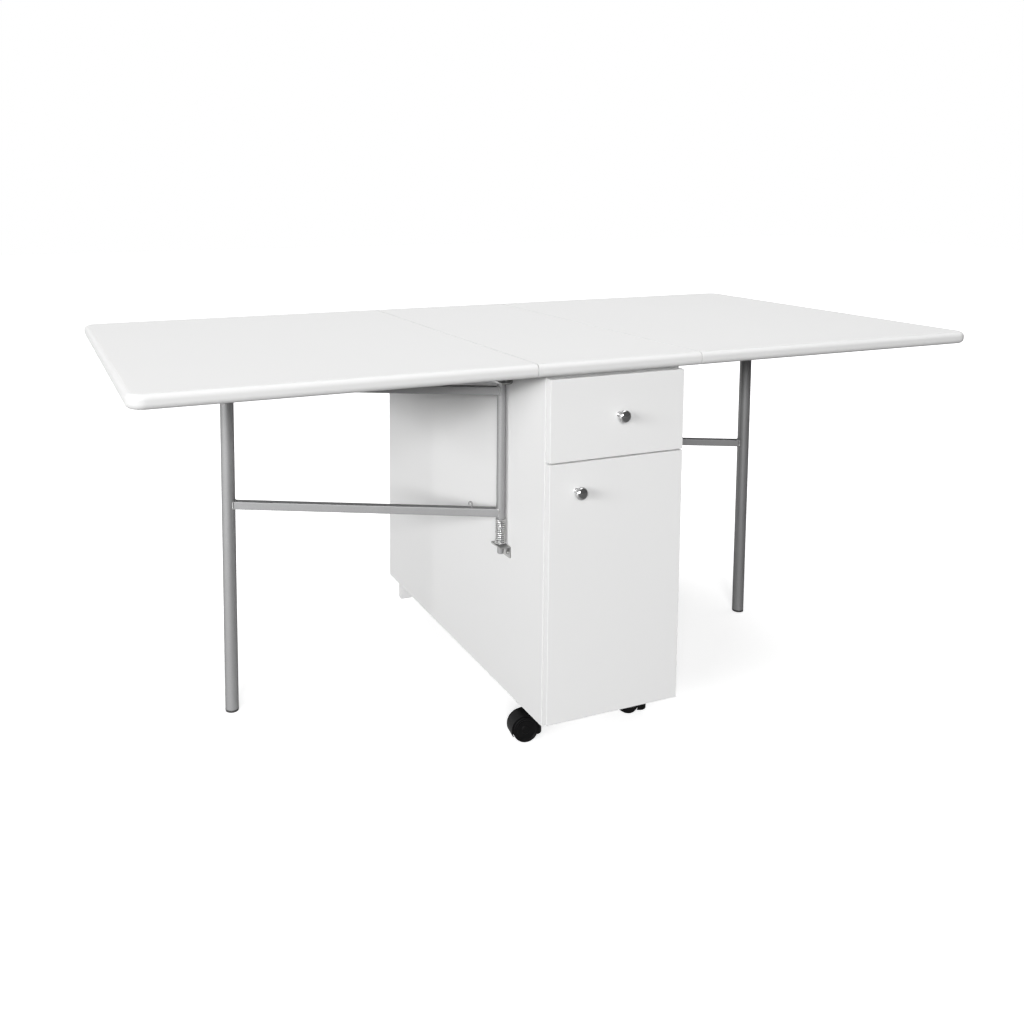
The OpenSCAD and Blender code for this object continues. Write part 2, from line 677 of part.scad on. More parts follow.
// Leaf hinges under the top, with their pins along Y
leaf_hinge_ys = [-half_w + leaf_hinge_inset, 0, half_w - leaf_hinge_inset];
module leaf_hinge_place(y) translate([hinge_x, y + leaf_hinge_l / 2, leaf_axis_z]) rotate([90, 0, 0]) children();
module leaf_hinge_half(bore, first) hinge_half(leaf_hinge_l, leaf_knuckle_d, bore, leaf_plate_w, leaf_plate_t,
    top_under - leaf_axis_z, first, leaf_stagger);
module moving_leaf_plates() for (y = leaf_hinge_ys) leaf_hinge_place(y) leaf_hinge_half(leaf_pin_d + 2 * run, 1);
module centre_hinge_plates() place() color("silver") for (m = [0, 1]) mirror([m, 0, 0])
    for (y = leaf_hinge_ys) leaf_hinge_place(y) mirror([1, 0, 0]) leaf_hinge_half(leaf_pin_d + 0.04, 0);
module left_leaf_hinge_plates() place() color("silver") mirror([1, 0, 0]) moving_leaf_plates();
module right_leaf_hinge_plates() place() color("silver") moving_leaf_plates();

// Door hinges at the cabinet's right front corner, with their pins along Z
module door_hinge_place(z) translate([door_axis_x, door_axis_y, z - door_hinge_l / 2]) mirror([1, 0, 0]) children();
module door_hinge_half(bore, face, first) hinge_half(door_hinge_l, door_knuckle_d, bore,
    door_plate_w + door_axis_x - side_x, door_plate_t, face, first, 0);
module door_hinge_frame_plates() place() color("silver") for (z = door_hinge_zs)
    door_hinge_place(z) door_hinge_half(door_pin_d + 0.04, front_gap / 2, 0);
module door_hinge_door_plates() place() color("silver") for (z = door_hinge_zs)
    door_hinge_place(z) door_hinge_half(door_pin_d + 2 * run, -front_gap / 2, 1);

// Pins of all the hinges, held in the fixed knuckles
module hinge_pins() place() color("silver") {
    for (m = [0, 1]) mirror([m, 0, 0]) for (y = leaf_hinge_ys)
        leaf_hinge_place(y) cylinder(d = leaf_pin_d, h = leaf_hinge_l);
    for (z = door_hinge_zs) door_hinge_place(z) cylinder(d = door_pin_d, h = door_hinge_l);
}

// Casters: drawn with the swivel axis at the origin and the trail along +X
module caster_place(right) place() translate([(right ? 1 : -1) * caster_x, caster_y, 0])
    rotate([0, 0, right ? right_trail_turn : left_trail_turn]) children();
module hood_profile() intersection() {
    hull() {
        translate([trail, wheel_r]) circle(r = hood_r);
        translate([0, hood_top - hood_front_r]) circle(r = hood_front_r);
        translate([-hood_front_r, hood_cut_z]) square([hood_front_r, 4]);
    }
    translate([-hood_front_r, hood_cut_z]) square([2 * trail + hood_r, hood_top]);
}
module caster_hood(right) color("black") caster_place(right) difference() {
    intersection() {
        translate([0, hood_half_w, 0]) rotate([90, 0, 0]) linear_extrude(2 * hood_half_w) hood_profile();
        union() {
            cylinder(r = hood_half_w, h = cab_lift);
            translate([0, -hood_half_w, 0]) cube([trail + hood_r, 2 * hood_half_w, cab_lift]);
        }
    }
    for (s = [-1, 1]) translate([trail, s * (web_t / 2 + wheel_w), wheel_r])
        rotate([90, 0, 0]) cylinder(r = wheel_r + well_gap, h = 2 * wheel_w, center = true);
    translate([0, 0, king_pin_z0 - 1]) cylinder(d = king_pin_d + 2 * run, h = cab_lift);
    translate([trail, hood_half_w, wheel_r]) rotate([90, 0, 0]) cylinder(d = axle_d + 0.04, h = 2 * hood_half_w);
}
module caster_axle(right) color("silver") caster_place(right) translate([trail, 0, wheel_r])
    rotate([90, 0, 0]) cylinder(d = axle_d, h = web_t + 2 * (wheel_w - 2), center = true);
// Wheel with a closed, slightly dished outer face, on the +Y side when s = 1
module caster_wheel(right, s) {
    half = wheel_w / 2;
    tread = 2;
    color("black") caster_place(right)
        translate([trail, s * (web_t / 2 + wheel_side_gap + half), wheel_r]) rotate([-90 * s, 0, 0])
            rotate_extrude() polygon([
                [axle_d / 2 + run, -half], [wheel_r - 6, -half], [wheel_r - 5, -half + 1], [wheel_r - tread, -half + 1],
                [wheel_r, -half + tread], [wheel_r, half - tread], [wheel_r - 0.6, half - 0.6], [wheel_r - tread, half],
                [wheel_r - 4, half], [wheel_r - 5.5, half - 0.9], [6, half - 0.9], [5, half - 0.2], [0, half - 0.2],
                [0, half - 1.6], [axle_d / 2 + run, half - 1.6]]);
}
module left_caster_hood() caster_hood(false);
module right_caster_hood() caster_hood(true);
module left_caster_axle() caster_axle(false);
module right_caster_axle() caster_axle(true);
module left_caster_near_wheel() caster_wheel(false, 1);
module left_caster_far_wheel() caster_wheel(false, -1);
module right_caster_near_wheel() caster_wheel(true, 1);
module right_caster_far_wheel() caster_wheel(true, -1);
// Mounting plates with their king pins
module caster_plates() place() color("silver") for (s = [-1, 1]) translate([s * caster_x, caster_y, 0]) {
    translate([0, 0, cab_lift - plate_t]) linear_extrude(plate_t) rounded_plate(plate_w, plate_w, plate_corner);
    translate([0, 0, hood_top + gap]) cylinder(d = raceway_d, h = raceway_h - gap + 1);
    translate([0, 0, king_pin_z0]) cylinder(d = king_pin_d, h = cab_lift - king_pin_z0 - 1);
}

centre_top();
left_leaf();
right_leaf();
left_side_panel();
right_side_panel();
bottom_panel();
back_panel();
drawer_divider();
top_rails();
rear_plinth();
drawer_runners();
drawer_front();
drawer_left_side();
drawer_right_side();
drawer_back();
drawer_bottom();
drawer_knob();
door_panel();
door_knob();
door_magnet();
door_strike();
door_hinge_frame_plates();
door_hinge_door_plates();
centre_hinge_plates();
left_leaf_hinge_plates();
right_leaf_hinge_plates();
hinge_pins();
left_leg_stop();
right_leg_stop();
left_leg_tube();
left_leg_plugs();
left_post();
left_lower_rail();
left_upper_rail();
left_catch_hook();
right_leg_tube();
right_leg_plugs();
right_post();
right_lower_rail();
right_upper_rail();
right_catch_hook();
left_pivot_rod();
left_spring();
left_lower_bracket();
left_upper_bracket();
right_pivot_rod();
right_spring();
right_lower_bracket();
right_upper_bracket();
bracket_screws();
caster_plates();
left_caster_hood();
left_caster_axle();
left_caster_near_wheel();
left_caster_far_wheel();
right_caster_hood();
right_caster_axle();
right_caster_near_wheel();
right_caster_far_wheel();
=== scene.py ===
"""White drop-leaf table on a narrow cabinet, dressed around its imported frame.

Lengths are metres, in the frame's own axes. Every piece takes its place from the frame's
nodes and joints. The sizes written here are those of details that the frame leaves out,
such as edge bands, weld beads, screw heads and the bends of sheet metal.
"""

from __future__ import annotations

import json
import logging
import math
from dataclasses import dataclass, field
from enum import Enum
from typing import Callable, Iterable, Sequence

import bmesh
import bpy
from mathutils import Matrix, Vector

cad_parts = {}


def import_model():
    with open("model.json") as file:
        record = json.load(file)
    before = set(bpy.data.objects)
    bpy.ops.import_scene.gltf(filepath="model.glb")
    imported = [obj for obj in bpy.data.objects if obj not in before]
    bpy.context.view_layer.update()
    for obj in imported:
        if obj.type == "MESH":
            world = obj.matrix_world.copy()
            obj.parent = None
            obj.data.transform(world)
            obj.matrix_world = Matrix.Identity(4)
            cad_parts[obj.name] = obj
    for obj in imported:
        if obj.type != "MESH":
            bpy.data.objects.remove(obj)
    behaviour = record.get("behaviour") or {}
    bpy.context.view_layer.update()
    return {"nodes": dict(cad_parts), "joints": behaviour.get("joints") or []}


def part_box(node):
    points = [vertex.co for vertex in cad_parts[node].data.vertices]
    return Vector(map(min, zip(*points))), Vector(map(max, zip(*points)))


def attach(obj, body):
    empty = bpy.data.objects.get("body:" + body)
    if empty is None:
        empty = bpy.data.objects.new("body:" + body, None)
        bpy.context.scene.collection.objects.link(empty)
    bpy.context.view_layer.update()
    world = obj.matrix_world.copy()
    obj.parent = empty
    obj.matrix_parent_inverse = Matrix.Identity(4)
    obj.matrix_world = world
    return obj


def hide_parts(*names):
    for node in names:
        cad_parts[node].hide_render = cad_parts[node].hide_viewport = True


LOG = logging.getLogger("table")

# A millimetre, the distance within which two places count as one, and the distance within
# which vertices are merged.
MM = 0.001
NEAR = 1e-6
SEAM = 1e-7

COLOR = "NodeSocketColor"
VALUE = "NodeSocketFloat"
PALE_GREY = (0.8, 0.8, 0.8, 1.0)
DUST_GREY = (0.22, 0.21, 0.2, 1.0)
WHITE = (1.0, 1.0, 1.0, 1.0)

# Noise: its middle value, its detail in each layer and how far it swings the roughness.
NOISE_MIDDLE = 0.5
CLOUD_DETAIL, GRAIN_DETAIL, DUST_DETAIL = 5.0, 2.0, 6.0
ROUGHNESS_SWING = 0.35

# Dust: how high above the floor it reaches, its patches and how rough it makes a surface.
DUST_TOP = 50 * MM
DUST_SCALE = 140.0
DUST_PATCHES = (0.42, 0.7)
DUST_ROUGHNESS = 0.4

Point = Sequence[float]
Profile = list[tuple[float, float]]
Fill = Callable[["Wiring", bpy.types.NodeOutputs, bpy.types.NodeInputs, bpy.types.NodeSocket], None]


# Finishes


@dataclass
class Wiring:
    """A node tree with short calls for adding and joining nodes."""

    tree: bpy.types.NodeTree

    def node(self, kind: str, **settings: object) -> bpy.types.Node:
        """Add a node and set its properties, and return it."""
        made = self.tree.nodes.new(kind)
        for name, value in settings.items():
            setattr(made, name, value)
        return made

    def join(self, source: bpy.types.NodeSocket, target: bpy.types.NodeSocket) -> None:
        """Link an output to an input."""
        self.tree.links.new(source, target)

    def feed(self, target: bpy.types.NodeSocket, value: object) -> None:
        """Link a socket or set a plain value on an input."""
        if isinstance(value, bpy.types.NodeSocket):
            self.join(value, target)
        else:
            target.default_value = value

    def group(self, tree: bpy.types.NodeTree, values: dict[str, object]) -> bpy.types.NodeOutputs:
        """Add a node group, feed its inputs and return its outputs."""
        made = self.node("ShaderNodeGroup", node_tree=tree)
        for name, value in values.items():
            self.feed(made.inputs[name], value)
        return made.outputs

    def math(
        self, operation: str, first: object, second: object, clamp: bool = False
    ) -> bpy.types.NodeSocket:
        """Add a Math node and return its result."""
        made = self.node("ShaderNodeMath", operation=operation, use_clamp=clamp)
        self.feed(made.inputs[0], first)
        self.feed(made.inputs[1], second)
        return made.outputs[0]

    def noise(
        self, vector: bpy.types.NodeSocket, scale: object, detail: float
    ) -> bpy.types.NodeSocket:
        """Add a Noise Texture and return its value."""
        made = self.node("ShaderNodeTexNoise")
        self.join(vector, made.inputs["Vector"])
        self.feed(made.inputs["Scale"], scale)
        made.inputs["Detail"].default_value = detail
        return made.outputs[0]

    def mix(self, factor: object, first: object, second: object) -> bpy.types.NodeSocket:
        """Add a colour Mix node and return its result."""
        made = self.node("ShaderNodeMix", data_type="RGBA")
        self.feed(made.inputs["Factor"], factor)
        self.feed(made.inputs[6], first)
        self.feed(made.inputs[7], second)
        return made.outputs[2]

    def ramp(self, value: bpy.types.NodeSocket, low: float, high: float) -> bpy.types.NodeSocket:
        """Map a value's stretch from low to high onto 0 to 1, clamped."""
        made = self.node("ShaderNodeMapRange", clamp=True)
        self.join(value, made.inputs["Value"])
        made.inputs["From Min"].default_value = low
        made.inputs["From Max"].default_value = high
        return made.outputs[0]


def shared_group(
    name: str,
    inputs: Iterable[tuple[str, str, object]],
    outputs: Iterable[tuple[str, str]],
    fill: Fill,
) -> bpy.types.NodeTree:
    """Return a node group, built on its first use.

    Args:
        name: The group's name.
        inputs: Name, socket type and default value of each input.
        outputs: Name and socket type of each output.
        fill: Wires the group's inputs and the Object coordinates to its outputs.

    Returns:
        The group's tree.
    """
    if name in bpy.data.node_groups:
        return bpy.data.node_groups[name]
    tree = bpy.data.node_groups.new(name, "ShaderNodeTree")
    for label, kind, default in inputs:
        socket = tree.interface.new_socket(name=label, in_out="INPUT", socket_type=kind)
        socket.default_value = default
    for label, kind in outputs:
        tree.interface.new_socket(name=label, in_out="OUTPUT", socket_type=kind)
    wire = Wiring(tree)
    ins = wire.node("NodeGroupInput").outputs
    outs = wire.node("NodeGroupOutput").inputs
    fill(wire, ins, outs, wire.node("ShaderNodeTexCoord").outputs["Object"])
    return tree


def surface_group() -> bpy.types.NodeTree:
    """Return the shared group that gives a finish its mottling and fine grain."""

    def fill(wire: Wiring, ins: bpy.types.NodeOutputs, outs: bpy.types.NodeInputs,
             spot: bpy.types.NodeSocket) -> None:
        """Wire colour, roughness and height."""
        cloud, grain = (
            wire.math("SUBTRACT", wire.noise(spot, ins[scale], detail), NOISE_MIDDLE)
            for scale, detail in (("Mottle scale", CLOUD_DETAIL), ("Grain scale", GRAIN_DETAIL)))
        swing = wire.math("MULTIPLY", cloud, wire.math("MULTIPLY", ins["Mottle"], 2.0))
        speck = wire.math("MULTIPLY", grain, ins["Grain"])
        gain = wire.math("ADD", wire.math("ADD", swing, speck), 1.0)
        scaled = wire.node("ShaderNodeVectorMath", operation="SCALE")
        wire.join(ins["Color"], scaled.inputs[0])
        wire.join(gain, scaled.inputs["Scale"])
        wire.join(scaled.outputs[0], outs["Color"])
        worn = wire.math("ADD", wire.math("MULTIPLY", cloud, ROUGHNESS_SWING), 1.0)
        wire.join(wire.math("MULTIPLY", ins["Roughness"], worn), outs["Roughness"])
        wire.join(grain, outs["Height"])

    return shared_group(
        "Mottle and grain",
        [("Color", COLOR, PALE_GREY), ("Roughness", VALUE, 0.5), ("Mottle scale", VALUE, 10.0),
         ("Mottle", VALUE, 0.05), ("Grain scale", VALUE, 500.0), ("Grain", VALUE, 0.05)],
        [("Color", COLOR), ("Roughness", VALUE), ("Height", VALUE)],
        fill,
    )


def dust_group() -> bpy.types.NodeTree:
    """Return the shared group that greys a surface with dust near the floor."""

    def fill(wire: Wiring, ins: bpy.types.NodeOutputs, outs: bpy.types.NodeInputs,
             spot: bpy.types.NodeSocket) -> None:
        """Wire colour and roughness."""
        split = wire.node("ShaderNodeSeparateXYZ")
        wire.join(spot, split.inputs[0])
        low = wire.math("SUBTRACT", 1.0, wire.ramp(split.outputs["Z"], 0.0, DUST_TOP))
        patch = wire.ramp(wire.noise(spot, DUST_SCALE, DUST_DETAIL), *DUST_PATCHES)
        mask = wire.math("MULTIPLY", wire.math("MULTIPLY", low, patch), ins["Amount"], clamp=True)
        wire.join(wire.mix(mask, ins["Color"], DUST_GREY), outs["Color"])
        rougher = wire.math("ADD", ins["Roughness"], wire.math("MULTIPLY", mask, DUST_ROUGHNESS))
        wire.join(rougher, outs["Roughness"])

    return shared_group(
        "Floor dust",
        [("Color", COLOR, PALE_GREY), ("Roughness", VALUE, 0.5), ("Amount", VALUE, 0.3)],
        [("Color", COLOR), ("Roughness", VALUE)],
        fill,
    )


@dataclass(frozen=True)
class Finish:
    """One surface finish: a Principled shader fed by the shared groups."""

    name: str
    slot: str
    color: tuple[float, float, float]
    roughness: float
    metallic: float = 0.0
    mottle_scale: float = 6.0
    mottle: float = 0.01
    grain_scale: float = 900.0
    grain: float = 0.02
    depth: float = 0.02 * MM
    specular: float = 0.5
    rim: float = 1.0
    dust: float = 0.0

    def material(self) -> bpy.types.Material:
        """Return the finish's material, made on its first use."""
        if self.name in bpy.data.materials:
            return bpy.data.materials[self.name]
        made = bpy.data.materials.new(self.name)
        made.use_nodes = True
        wire = Wiring(made.node_tree)
        shader = made.node_tree.nodes["Principled BSDF"]
        paint = (*self.color, 1.0)
        surface = wire.group(surface_group(), {
            "Color": paint, "Roughness": self.roughness, "Mottle scale": self.mottle_scale,
            "Mottle": self.mottle, "Grain scale": self.grain_scale, "Grain": self.grain})
        color, roughness = surface["Color"], surface["Roughness"]
        if self.dust:
            dusty = wire.group(dust_group(), {
                "Color": color, "Roughness": roughness, "Amount": self.dust})
            color, roughness = dusty["Color"], dusty["Roughness"]
        bump = wire.node("ShaderNodeBump")
        bump.inputs["Distance"].default_value = self.depth
        bump.inputs["Strength"].default_value = 1.0
        wire.join(surface["Height"], bump.inputs["Height"])
        for name, value in (
            ("Base Color", color), ("Roughness", roughness), ("Normal", bump.outputs["Normal"]),
            ("Metallic", self.metallic), ("Specular IOR Level", self.specular),
            ("Specular Tint", (*[self.rim] * 3, 1.0)),
        ):
            wire.feed(shader.inputs[name], value)
        made.diffuse_color = paint
        return made


class Finishes(Enum):
    """Every finish on the table."""

    LAMINATE = Finish(
        "white_laminate", "laminate", (0.83, 0.83, 0.828), 0.5, mottle_scale=3.0, mottle=0.006,
        grain_scale=1400.0, grain=0.012, depth=0.03 * MM, specular=0.2)
    EDGE_BAND = Finish(
        "white_edge_band", "laminate", (0.83, 0.83, 0.828), 0.4, mottle_scale=9.0, mottle=0.004,
        grain_scale=700.0, grain=0.004, depth=0.008 * MM, specular=0.3)
    # The rim of the top: a darker copy of the white laminate, which paints shade onto its rounded
    # edge.
    TOP_RIM = Finish(
        "rim_painted_shade", "laminate", (0.735, 0.735, 0.733), 0.5, mottle_scale=9.0, mottle=0.004,
        grain=0.008, depth=0.01 * MM, specular=0.15)
    # Weld beads: a lighter copy of the tube's silver paint, which paints glints onto them.
    WELD = Finish(
        "weld_bead_painted_glint", "painted_tube", (0.36, 0.36, 0.36), 0.4, metallic=0.6, mottle_scale=300.0,
        mottle=0.15, grain_scale=1800.0, grain=0.15, depth=0.03 * MM)
    HARDBOARD = Finish(
        "white_hardboard", "drawer_floor", (0.74, 0.74, 0.73), 0.5, mottle_scale=12.0, mottle=0.02,
        grain_scale=500.0, grain=0.03)
    TUBE = Finish(
        "silver_paint", "painted_tube", (0.32, 0.32, 0.323), 0.5, metallic=0.5, mottle_scale=18.0,
        mottle=0.05, grain_scale=700.0, grain=0.3, depth=0.06 * MM, specular=0.0, rim=0.0)
    ZINC = Finish(
        "zinc_plate", "bright_steel", (0.34, 0.34, 0.335), 0.3, metallic=0.85, mottle_scale=160.0,
        mottle=0.12, grain_scale=1500.0, grain=0.08)
    SPRING = Finish(
        "spring_steel", "bright_steel", (0.62, 0.62, 0.615), 0.2, metallic=1.0, mottle_scale=160.0,
        mottle=0.1, grain_scale=1500.0, grain=0.06, depth=0.01 * MM)
    KNOB = Finish(
        "knob_nickel", "knob_metal", (0.5, 0.5, 0.5), 0.13, metallic=1.0, mottle_scale=60.0,
        mottle=0.04, grain_scale=2500.0, grain=0.03, depth=0.006 * MM)
    # The knob's stem: a lighter copy of the knob's nickel, which paints a pale reflection onto it.
    STEM = Finish(
        "stem_nickel_painted_reflection", "knob_metal", (0.62, 0.62, 0.62), 0.25, metallic=1.0, mottle_scale=60.0,
        mottle=0.04, grain_scale=2500.0, grain=0.03, depth=0.006 * MM)
    RUBBER = Finish(
        "black_rubber", "black_rubber", (0.006, 0.006, 0.006), 0.6, mottle_scale=60.0, mottle=0.12,
        grain_scale=1800.0, grain=0.25, depth=0.05 * MM, specular=0.06, dust=0.015)
    NYLON = Finish(
        "black_nylon", "black_plastic", (0.006, 0.006, 0.0062), 0.36, mottle_scale=70.0, mottle=0.1,
        grain_scale=2400.0, grain=0.2, depth=0.04 * MM, specular=0.06, dust=0.015)
    PLASTIC = Finish(
        "white_plastic", "white_plastic", (0.76, 0.76, 0.75), 0.4, mottle_scale=30.0, mottle=0.015,
        grain_scale=1300.0)
    MAGNET = Finish(
        "magnet_pole", "bright_steel", (0.30, 0.30, 0.31), 0.45, metallic=1.0, mottle_scale=200.0,
        mottle=0.1, grain_scale=2000.0, grain=0.1)


# Mesh making


def arc(
    centre: tuple[float, float], radius: float, start: float, end: float, steps: int
) -> Profile:
    """Return points on an arc.

    Args:
        centre: The arc's centre.
        radius: Its radius.
        start: Its first angle, in degrees.
        end: Its last angle, in degrees.
        steps: How many straight stretches it has.

    Returns:
        The points from start to end.
    """
    angles = [math.radians(start + (end - start) * i / steps) for i in range(steps + 1)]
    return [(centre[0] + radius * math.cos(a), centre[1] + radius * math.sin(a)) for a in angles]


def block(low: Vector, high: Vector, edge: float = 0.0, segments: int = 2) -> bmesh.types.BMesh:
    """Return a box between two corners, its edges rounded by edge."""
    bm = bmesh.new()
    bmesh.ops.create_cube(bm, size=1.0)
    bmesh.ops.scale(bm, vec=high - low, verts=bm.verts)
    bmesh.ops.translate(bm, vec=(high + low) / 2, verts=bm.verts)
    if edge:
        round_edges(bm, bm.edges[:], edge, segments)
    return bm


def round_edges(
    bm: bmesh.types.BMesh, edges: Sequence[bmesh.types.BMEdge], radius: float, segments: int
) -> None:
    """Round edges of a mesh with an even profile."""
    bmesh.ops.bevel(bm, geom=list(edges), offset=radius, offset_type="OFFSET", segments=segments,
                    profile=0.5, affect="EDGES", material=-1, clamp_overlap=True)


def upright_edges(bm: bmesh.types.BMesh) -> list[bmesh.types.BMEdge]:
    """Return the edges that rise by more than 1 mm."""
    return [e for e in bm.edges if abs(e.verts[0].co.z - e.verts[1].co.z) > MM]


def sharp_edges(bm: bmesh.types.BMesh, angle: float) -> list[bmesh.types.BMEdge]:
    """Return the edges that bend by more than angle, in degrees."""
    return [e for e in bm.edges if e.is_manifold and e.calc_face_angle(0.0) > math.radians(angle)]


def lathe(profile: Profile, steps: int = 48) -> bmesh.types.BMesh:
    """Return a profile of (radius, height) pairs turned once round Z."""
    bm = bmesh.new()
    verts = [bm.verts.new((r, 0.0, z)) for r, z in profile]
    edges = [bm.edges.new(pair) for pair in zip(verts, verts[1:])]
    bmesh.ops.spin(bm, geom=verts + edges, cent=(0, 0, 0), axis=(0, 0, 1), dvec=(0, 0, 0),
                   angle=math.tau, steps=steps, use_merge=True)
    return closed_up(bm)


def closed_up(bm: bmesh.types.BMesh) -> bmesh.types.BMesh:
    """Merge a mesh's seams, turn its faces outwards and return it."""
    bmesh.ops.remove_doubles(bm, verts=bm.verts, dist=SEAM)
    bmesh.ops.recalc_face_normals(bm, faces=bm.faces)
    return bm


def place(bm: bmesh.types.BMesh, matrix: Matrix) -> bmesh.types.BMesh:
    """Move a mesh by a matrix and return it."""
    bmesh.ops.transform(bm, matrix=matrix, verts=bm.verts)
    return bm


def joined(parts: Iterable[bmesh.types.BMesh]) -> bmesh.types.BMesh:
    """Return several meshes as one, and free them."""
    whole = bmesh.new()
    for part in parts:
        spare = bpy.data.meshes.new("spare")
        part.to_mesh(spare)
        part.free()
        whole.from_mesh(spare)
        bpy.data.meshes.remove(spare)
    return whole


def shown_mesh(holder: bpy.types.Object) -> bpy.types.Mesh:
    """Return an object's shape as a mesh of its own, with its modifiers and bevels."""
    bpy.context.view_layer.update()
    depsgraph = bpy.context.evaluated_depsgraph_get()
    return bpy.data.meshes.new_from_object(holder.evaluated_get(depsgraph))


def wire_mesh(
    points: Sequence[Vector],
    radius: float,
    sides: int,
    closed: bool = False,
    swell: Callable[[int], float] = lambda index: 1.0,
) -> bmesh.types.BMesh:
    """Return a round wire along a path.

    Args:
        points: The path's points.
        radius: The wire's radius.
        sides: Half the number of its sides.
        closed: Whether the path closes on itself.
        swell: Gives the share of the radius at each point.

    Returns:
        The wire's mesh, with closed ends.
    """
    curve = bpy.data.curves.new("wire", "CURVE")
    curve.dimensions = "3D"
    curve.bevel_depth = radius
    curve.bevel_resolution = max(sides - 2, 0)
    curve.use_fill_caps = not closed
    curve.twist_mode = "MINIMUM"
    spline = curve.splines.new("POLY")
    spline.points.add(len(points) - 1)
    for index, (target, point) in enumerate(zip(spline.points, points)):
        target.co = (*point, 1.0)
        target.radius = swell(index)
    spline.use_cyclic_u = closed
    holder = bpy.data.objects.new("wire", curve)
    bpy.context.scene.collection.objects.link(holder)
    mesh = shown_mesh(holder)
    bm = bmesh.new()
    bm.from_mesh(mesh)
    bpy.data.objects.remove(holder)
    bpy.data.curves.remove(curve)
    bpy.data.meshes.remove(mesh)
    return closed_up(bm)


def turn_to(direction: Point, spot: Point) -> Matrix:
    """Return the matrix that takes +Z to a direction and the origin to a spot."""
    turn = Vector(direction).to_track_quat("Z", "Y").to_matrix().to_4x4()
    return Matrix.Translation(Vector(spot)) @ turn


@dataclass(frozen=True)
class Shop:
    """Turns meshes into finished pieces on the frame's bodies."""

    nodes: dict[str, bpy.types.Object]
    flat_angle: float = math.radians(0.2)

    def copy_of(self, node: str) -> bmesh.types.BMesh:
        """Return a frame node's mesh with its loose triangles joined and its flats cleared."""
        bm = bmesh.new()
        bm.from_mesh(self.nodes[node].data)
        bmesh.ops.remove_doubles(bm, verts=bm.verts, dist=NEAR)
        bmesh.ops.dissolve_limit(bm, angle_limit=self.flat_angle, verts=bm.verts, edges=bm.edges)
        return bm

    def softened(self, node: str, angle: float, radius: float, segments: int) -> bmesh.types.BMesh:
        """Return a copy of a frame node whose edges sharper than angle, in degrees, are rounded."""
        bm = self.copy_of(node)
        round_edges(bm, sharp_edges(bm, angle), radius, segments)
        return bm

    def piece(
        self,
        name: str,
        bm: bmesh.types.BMesh,
        finish: Finishes,
        body: str,
        replaces: Sequence[str] = (),
        crease: float = 38.0,
        extra: Sequence[Finishes] = (),
    ) -> None:
        """Make a piece from a mesh.

        Args:
            name: The piece's name.
            bm: Its mesh, in the frame's axes, which is freed.
            finish: Its finish.
            body: The body that it rides on.
            replaces: The frame nodes that it stands for.
            crease: The angle past which its edges stay sharp, in degrees.
            extra: Finishes of its other material indices.
        """
        mesh = bpy.data.meshes.new(name)
        bm.to_mesh(mesh)
        bm.free()
        mesh.shade_smooth()
        mesh.set_sharp_from_angle(angle=math.radians(crease))
        for item in (finish, *extra):
            mesh.materials.append(item.value.material())
        made = bpy.data.objects.new(name, mesh)
        bpy.context.scene.collection.objects.link(made)
        normals = made.modifiers.new("even_shading", "WEIGHTED_NORMAL")
        normals.keep_sharp = True
        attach(made, body)
        if replaces:
            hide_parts(*replaces)
        LOG.info("%s rides on %s", name, body)

    def dress(self, names: Iterable[str], finish: Finishes) -> None:
        """Give frame nodes that stay as they are a finish."""
        for name in names:
            mesh = self.nodes[name].data
            mesh.materials.clear()
            mesh.materials.append(finish.value.material())
            LOG.info("%s keeps its shape", name)


class Drive(Enum):
    """How a screw's head is shaped."""

    PAN = "pan"
    FLAT = "flat"


@dataclass
class Screws:
    """Cross-recessed screw heads, one mesh for each shape and size.

    The sizes are shares of a head's radius.
    """

    pan_rise: float = 0.55
    pan_rim: float = 0.35
    flat_rise: float = 0.03
    flat_crown: float = 0.93
    flat_lip: float = 0.06
    cone: float = 0.7
    shank: float = 0.45
    arm: float = 0.62
    arm_half: float = 0.17
    recess: float = 0.45
    over: float = 0.2
    turn: float = math.radians(37)
    made: dict[tuple[Drive, float], bpy.types.Mesh] = field(default_factory=dict)

    def profile(self, drive: Drive, radius: float) -> Profile:
        """Return a head's outline, from its seat to its crown."""
        if drive is Drive.PAN:
            rise = radius * self.pan_rise
            dome = [(radius * math.cos(a), rise * (self.pan_rim + (1 - self.pan_rim) * math.sin(a)))
                    for a in (math.radians(9 * i) for i in range(11))]
            return [(0.0, 0.0), (radius, 0.0), *dome]
        rise = radius * self.flat_rise
        return [(0.0, -radius * self.cone), (radius * self.shank, -radius * self.cone),
                (radius, -radius * self.flat_lip), (radius, 0.0),
                (radius * self.flat_crown, rise), (0.0, rise)]

    def head(self, drive: Drive, radius: float) -> bpy.types.Mesh:
        """Return a head's mesh, its seat at Z = 0 and its top towards +Z."""
        key = (drive, radius)
        if key in self.made:
            return self.made[key]
        profile = self.profile(drive, radius)
        body = lathe(profile, steps=28)
        body_mesh = bpy.data.meshes.new("screw_head")
        body.to_mesh(body_mesh)
        body.free()
        arm, half = radius * self.arm, radius * self.arm_half
        top = profile[-1][1] + self.over * radius
        foot = top - radius * self.recess - self.over * radius
        cross = joined([
            block(Vector((-arm, -half, foot)), Vector((arm, half, top))),
            block(Vector((-half, -arm, foot)), Vector((half, arm, top)))])
        self.made[key] = cut_away(body_mesh, cross)
        return self.made[key]

    def row(
        self, drive: Drive, radius: float, spots: Iterable[tuple[Point, Point]]
    ) -> bmesh.types.BMesh:
        """Return heads at several spots, each with its outward direction."""
        source = self.head(drive, radius)
        heads = []
        for index, (spot, direction) in enumerate(spots):
            one = bmesh.new()
            one.from_mesh(source)
            turned = turn_to(direction, spot) @ Matrix.Rotation(self.turn * index, 4, "Z")
            heads.append(place(one, turned))
        return joined(heads)


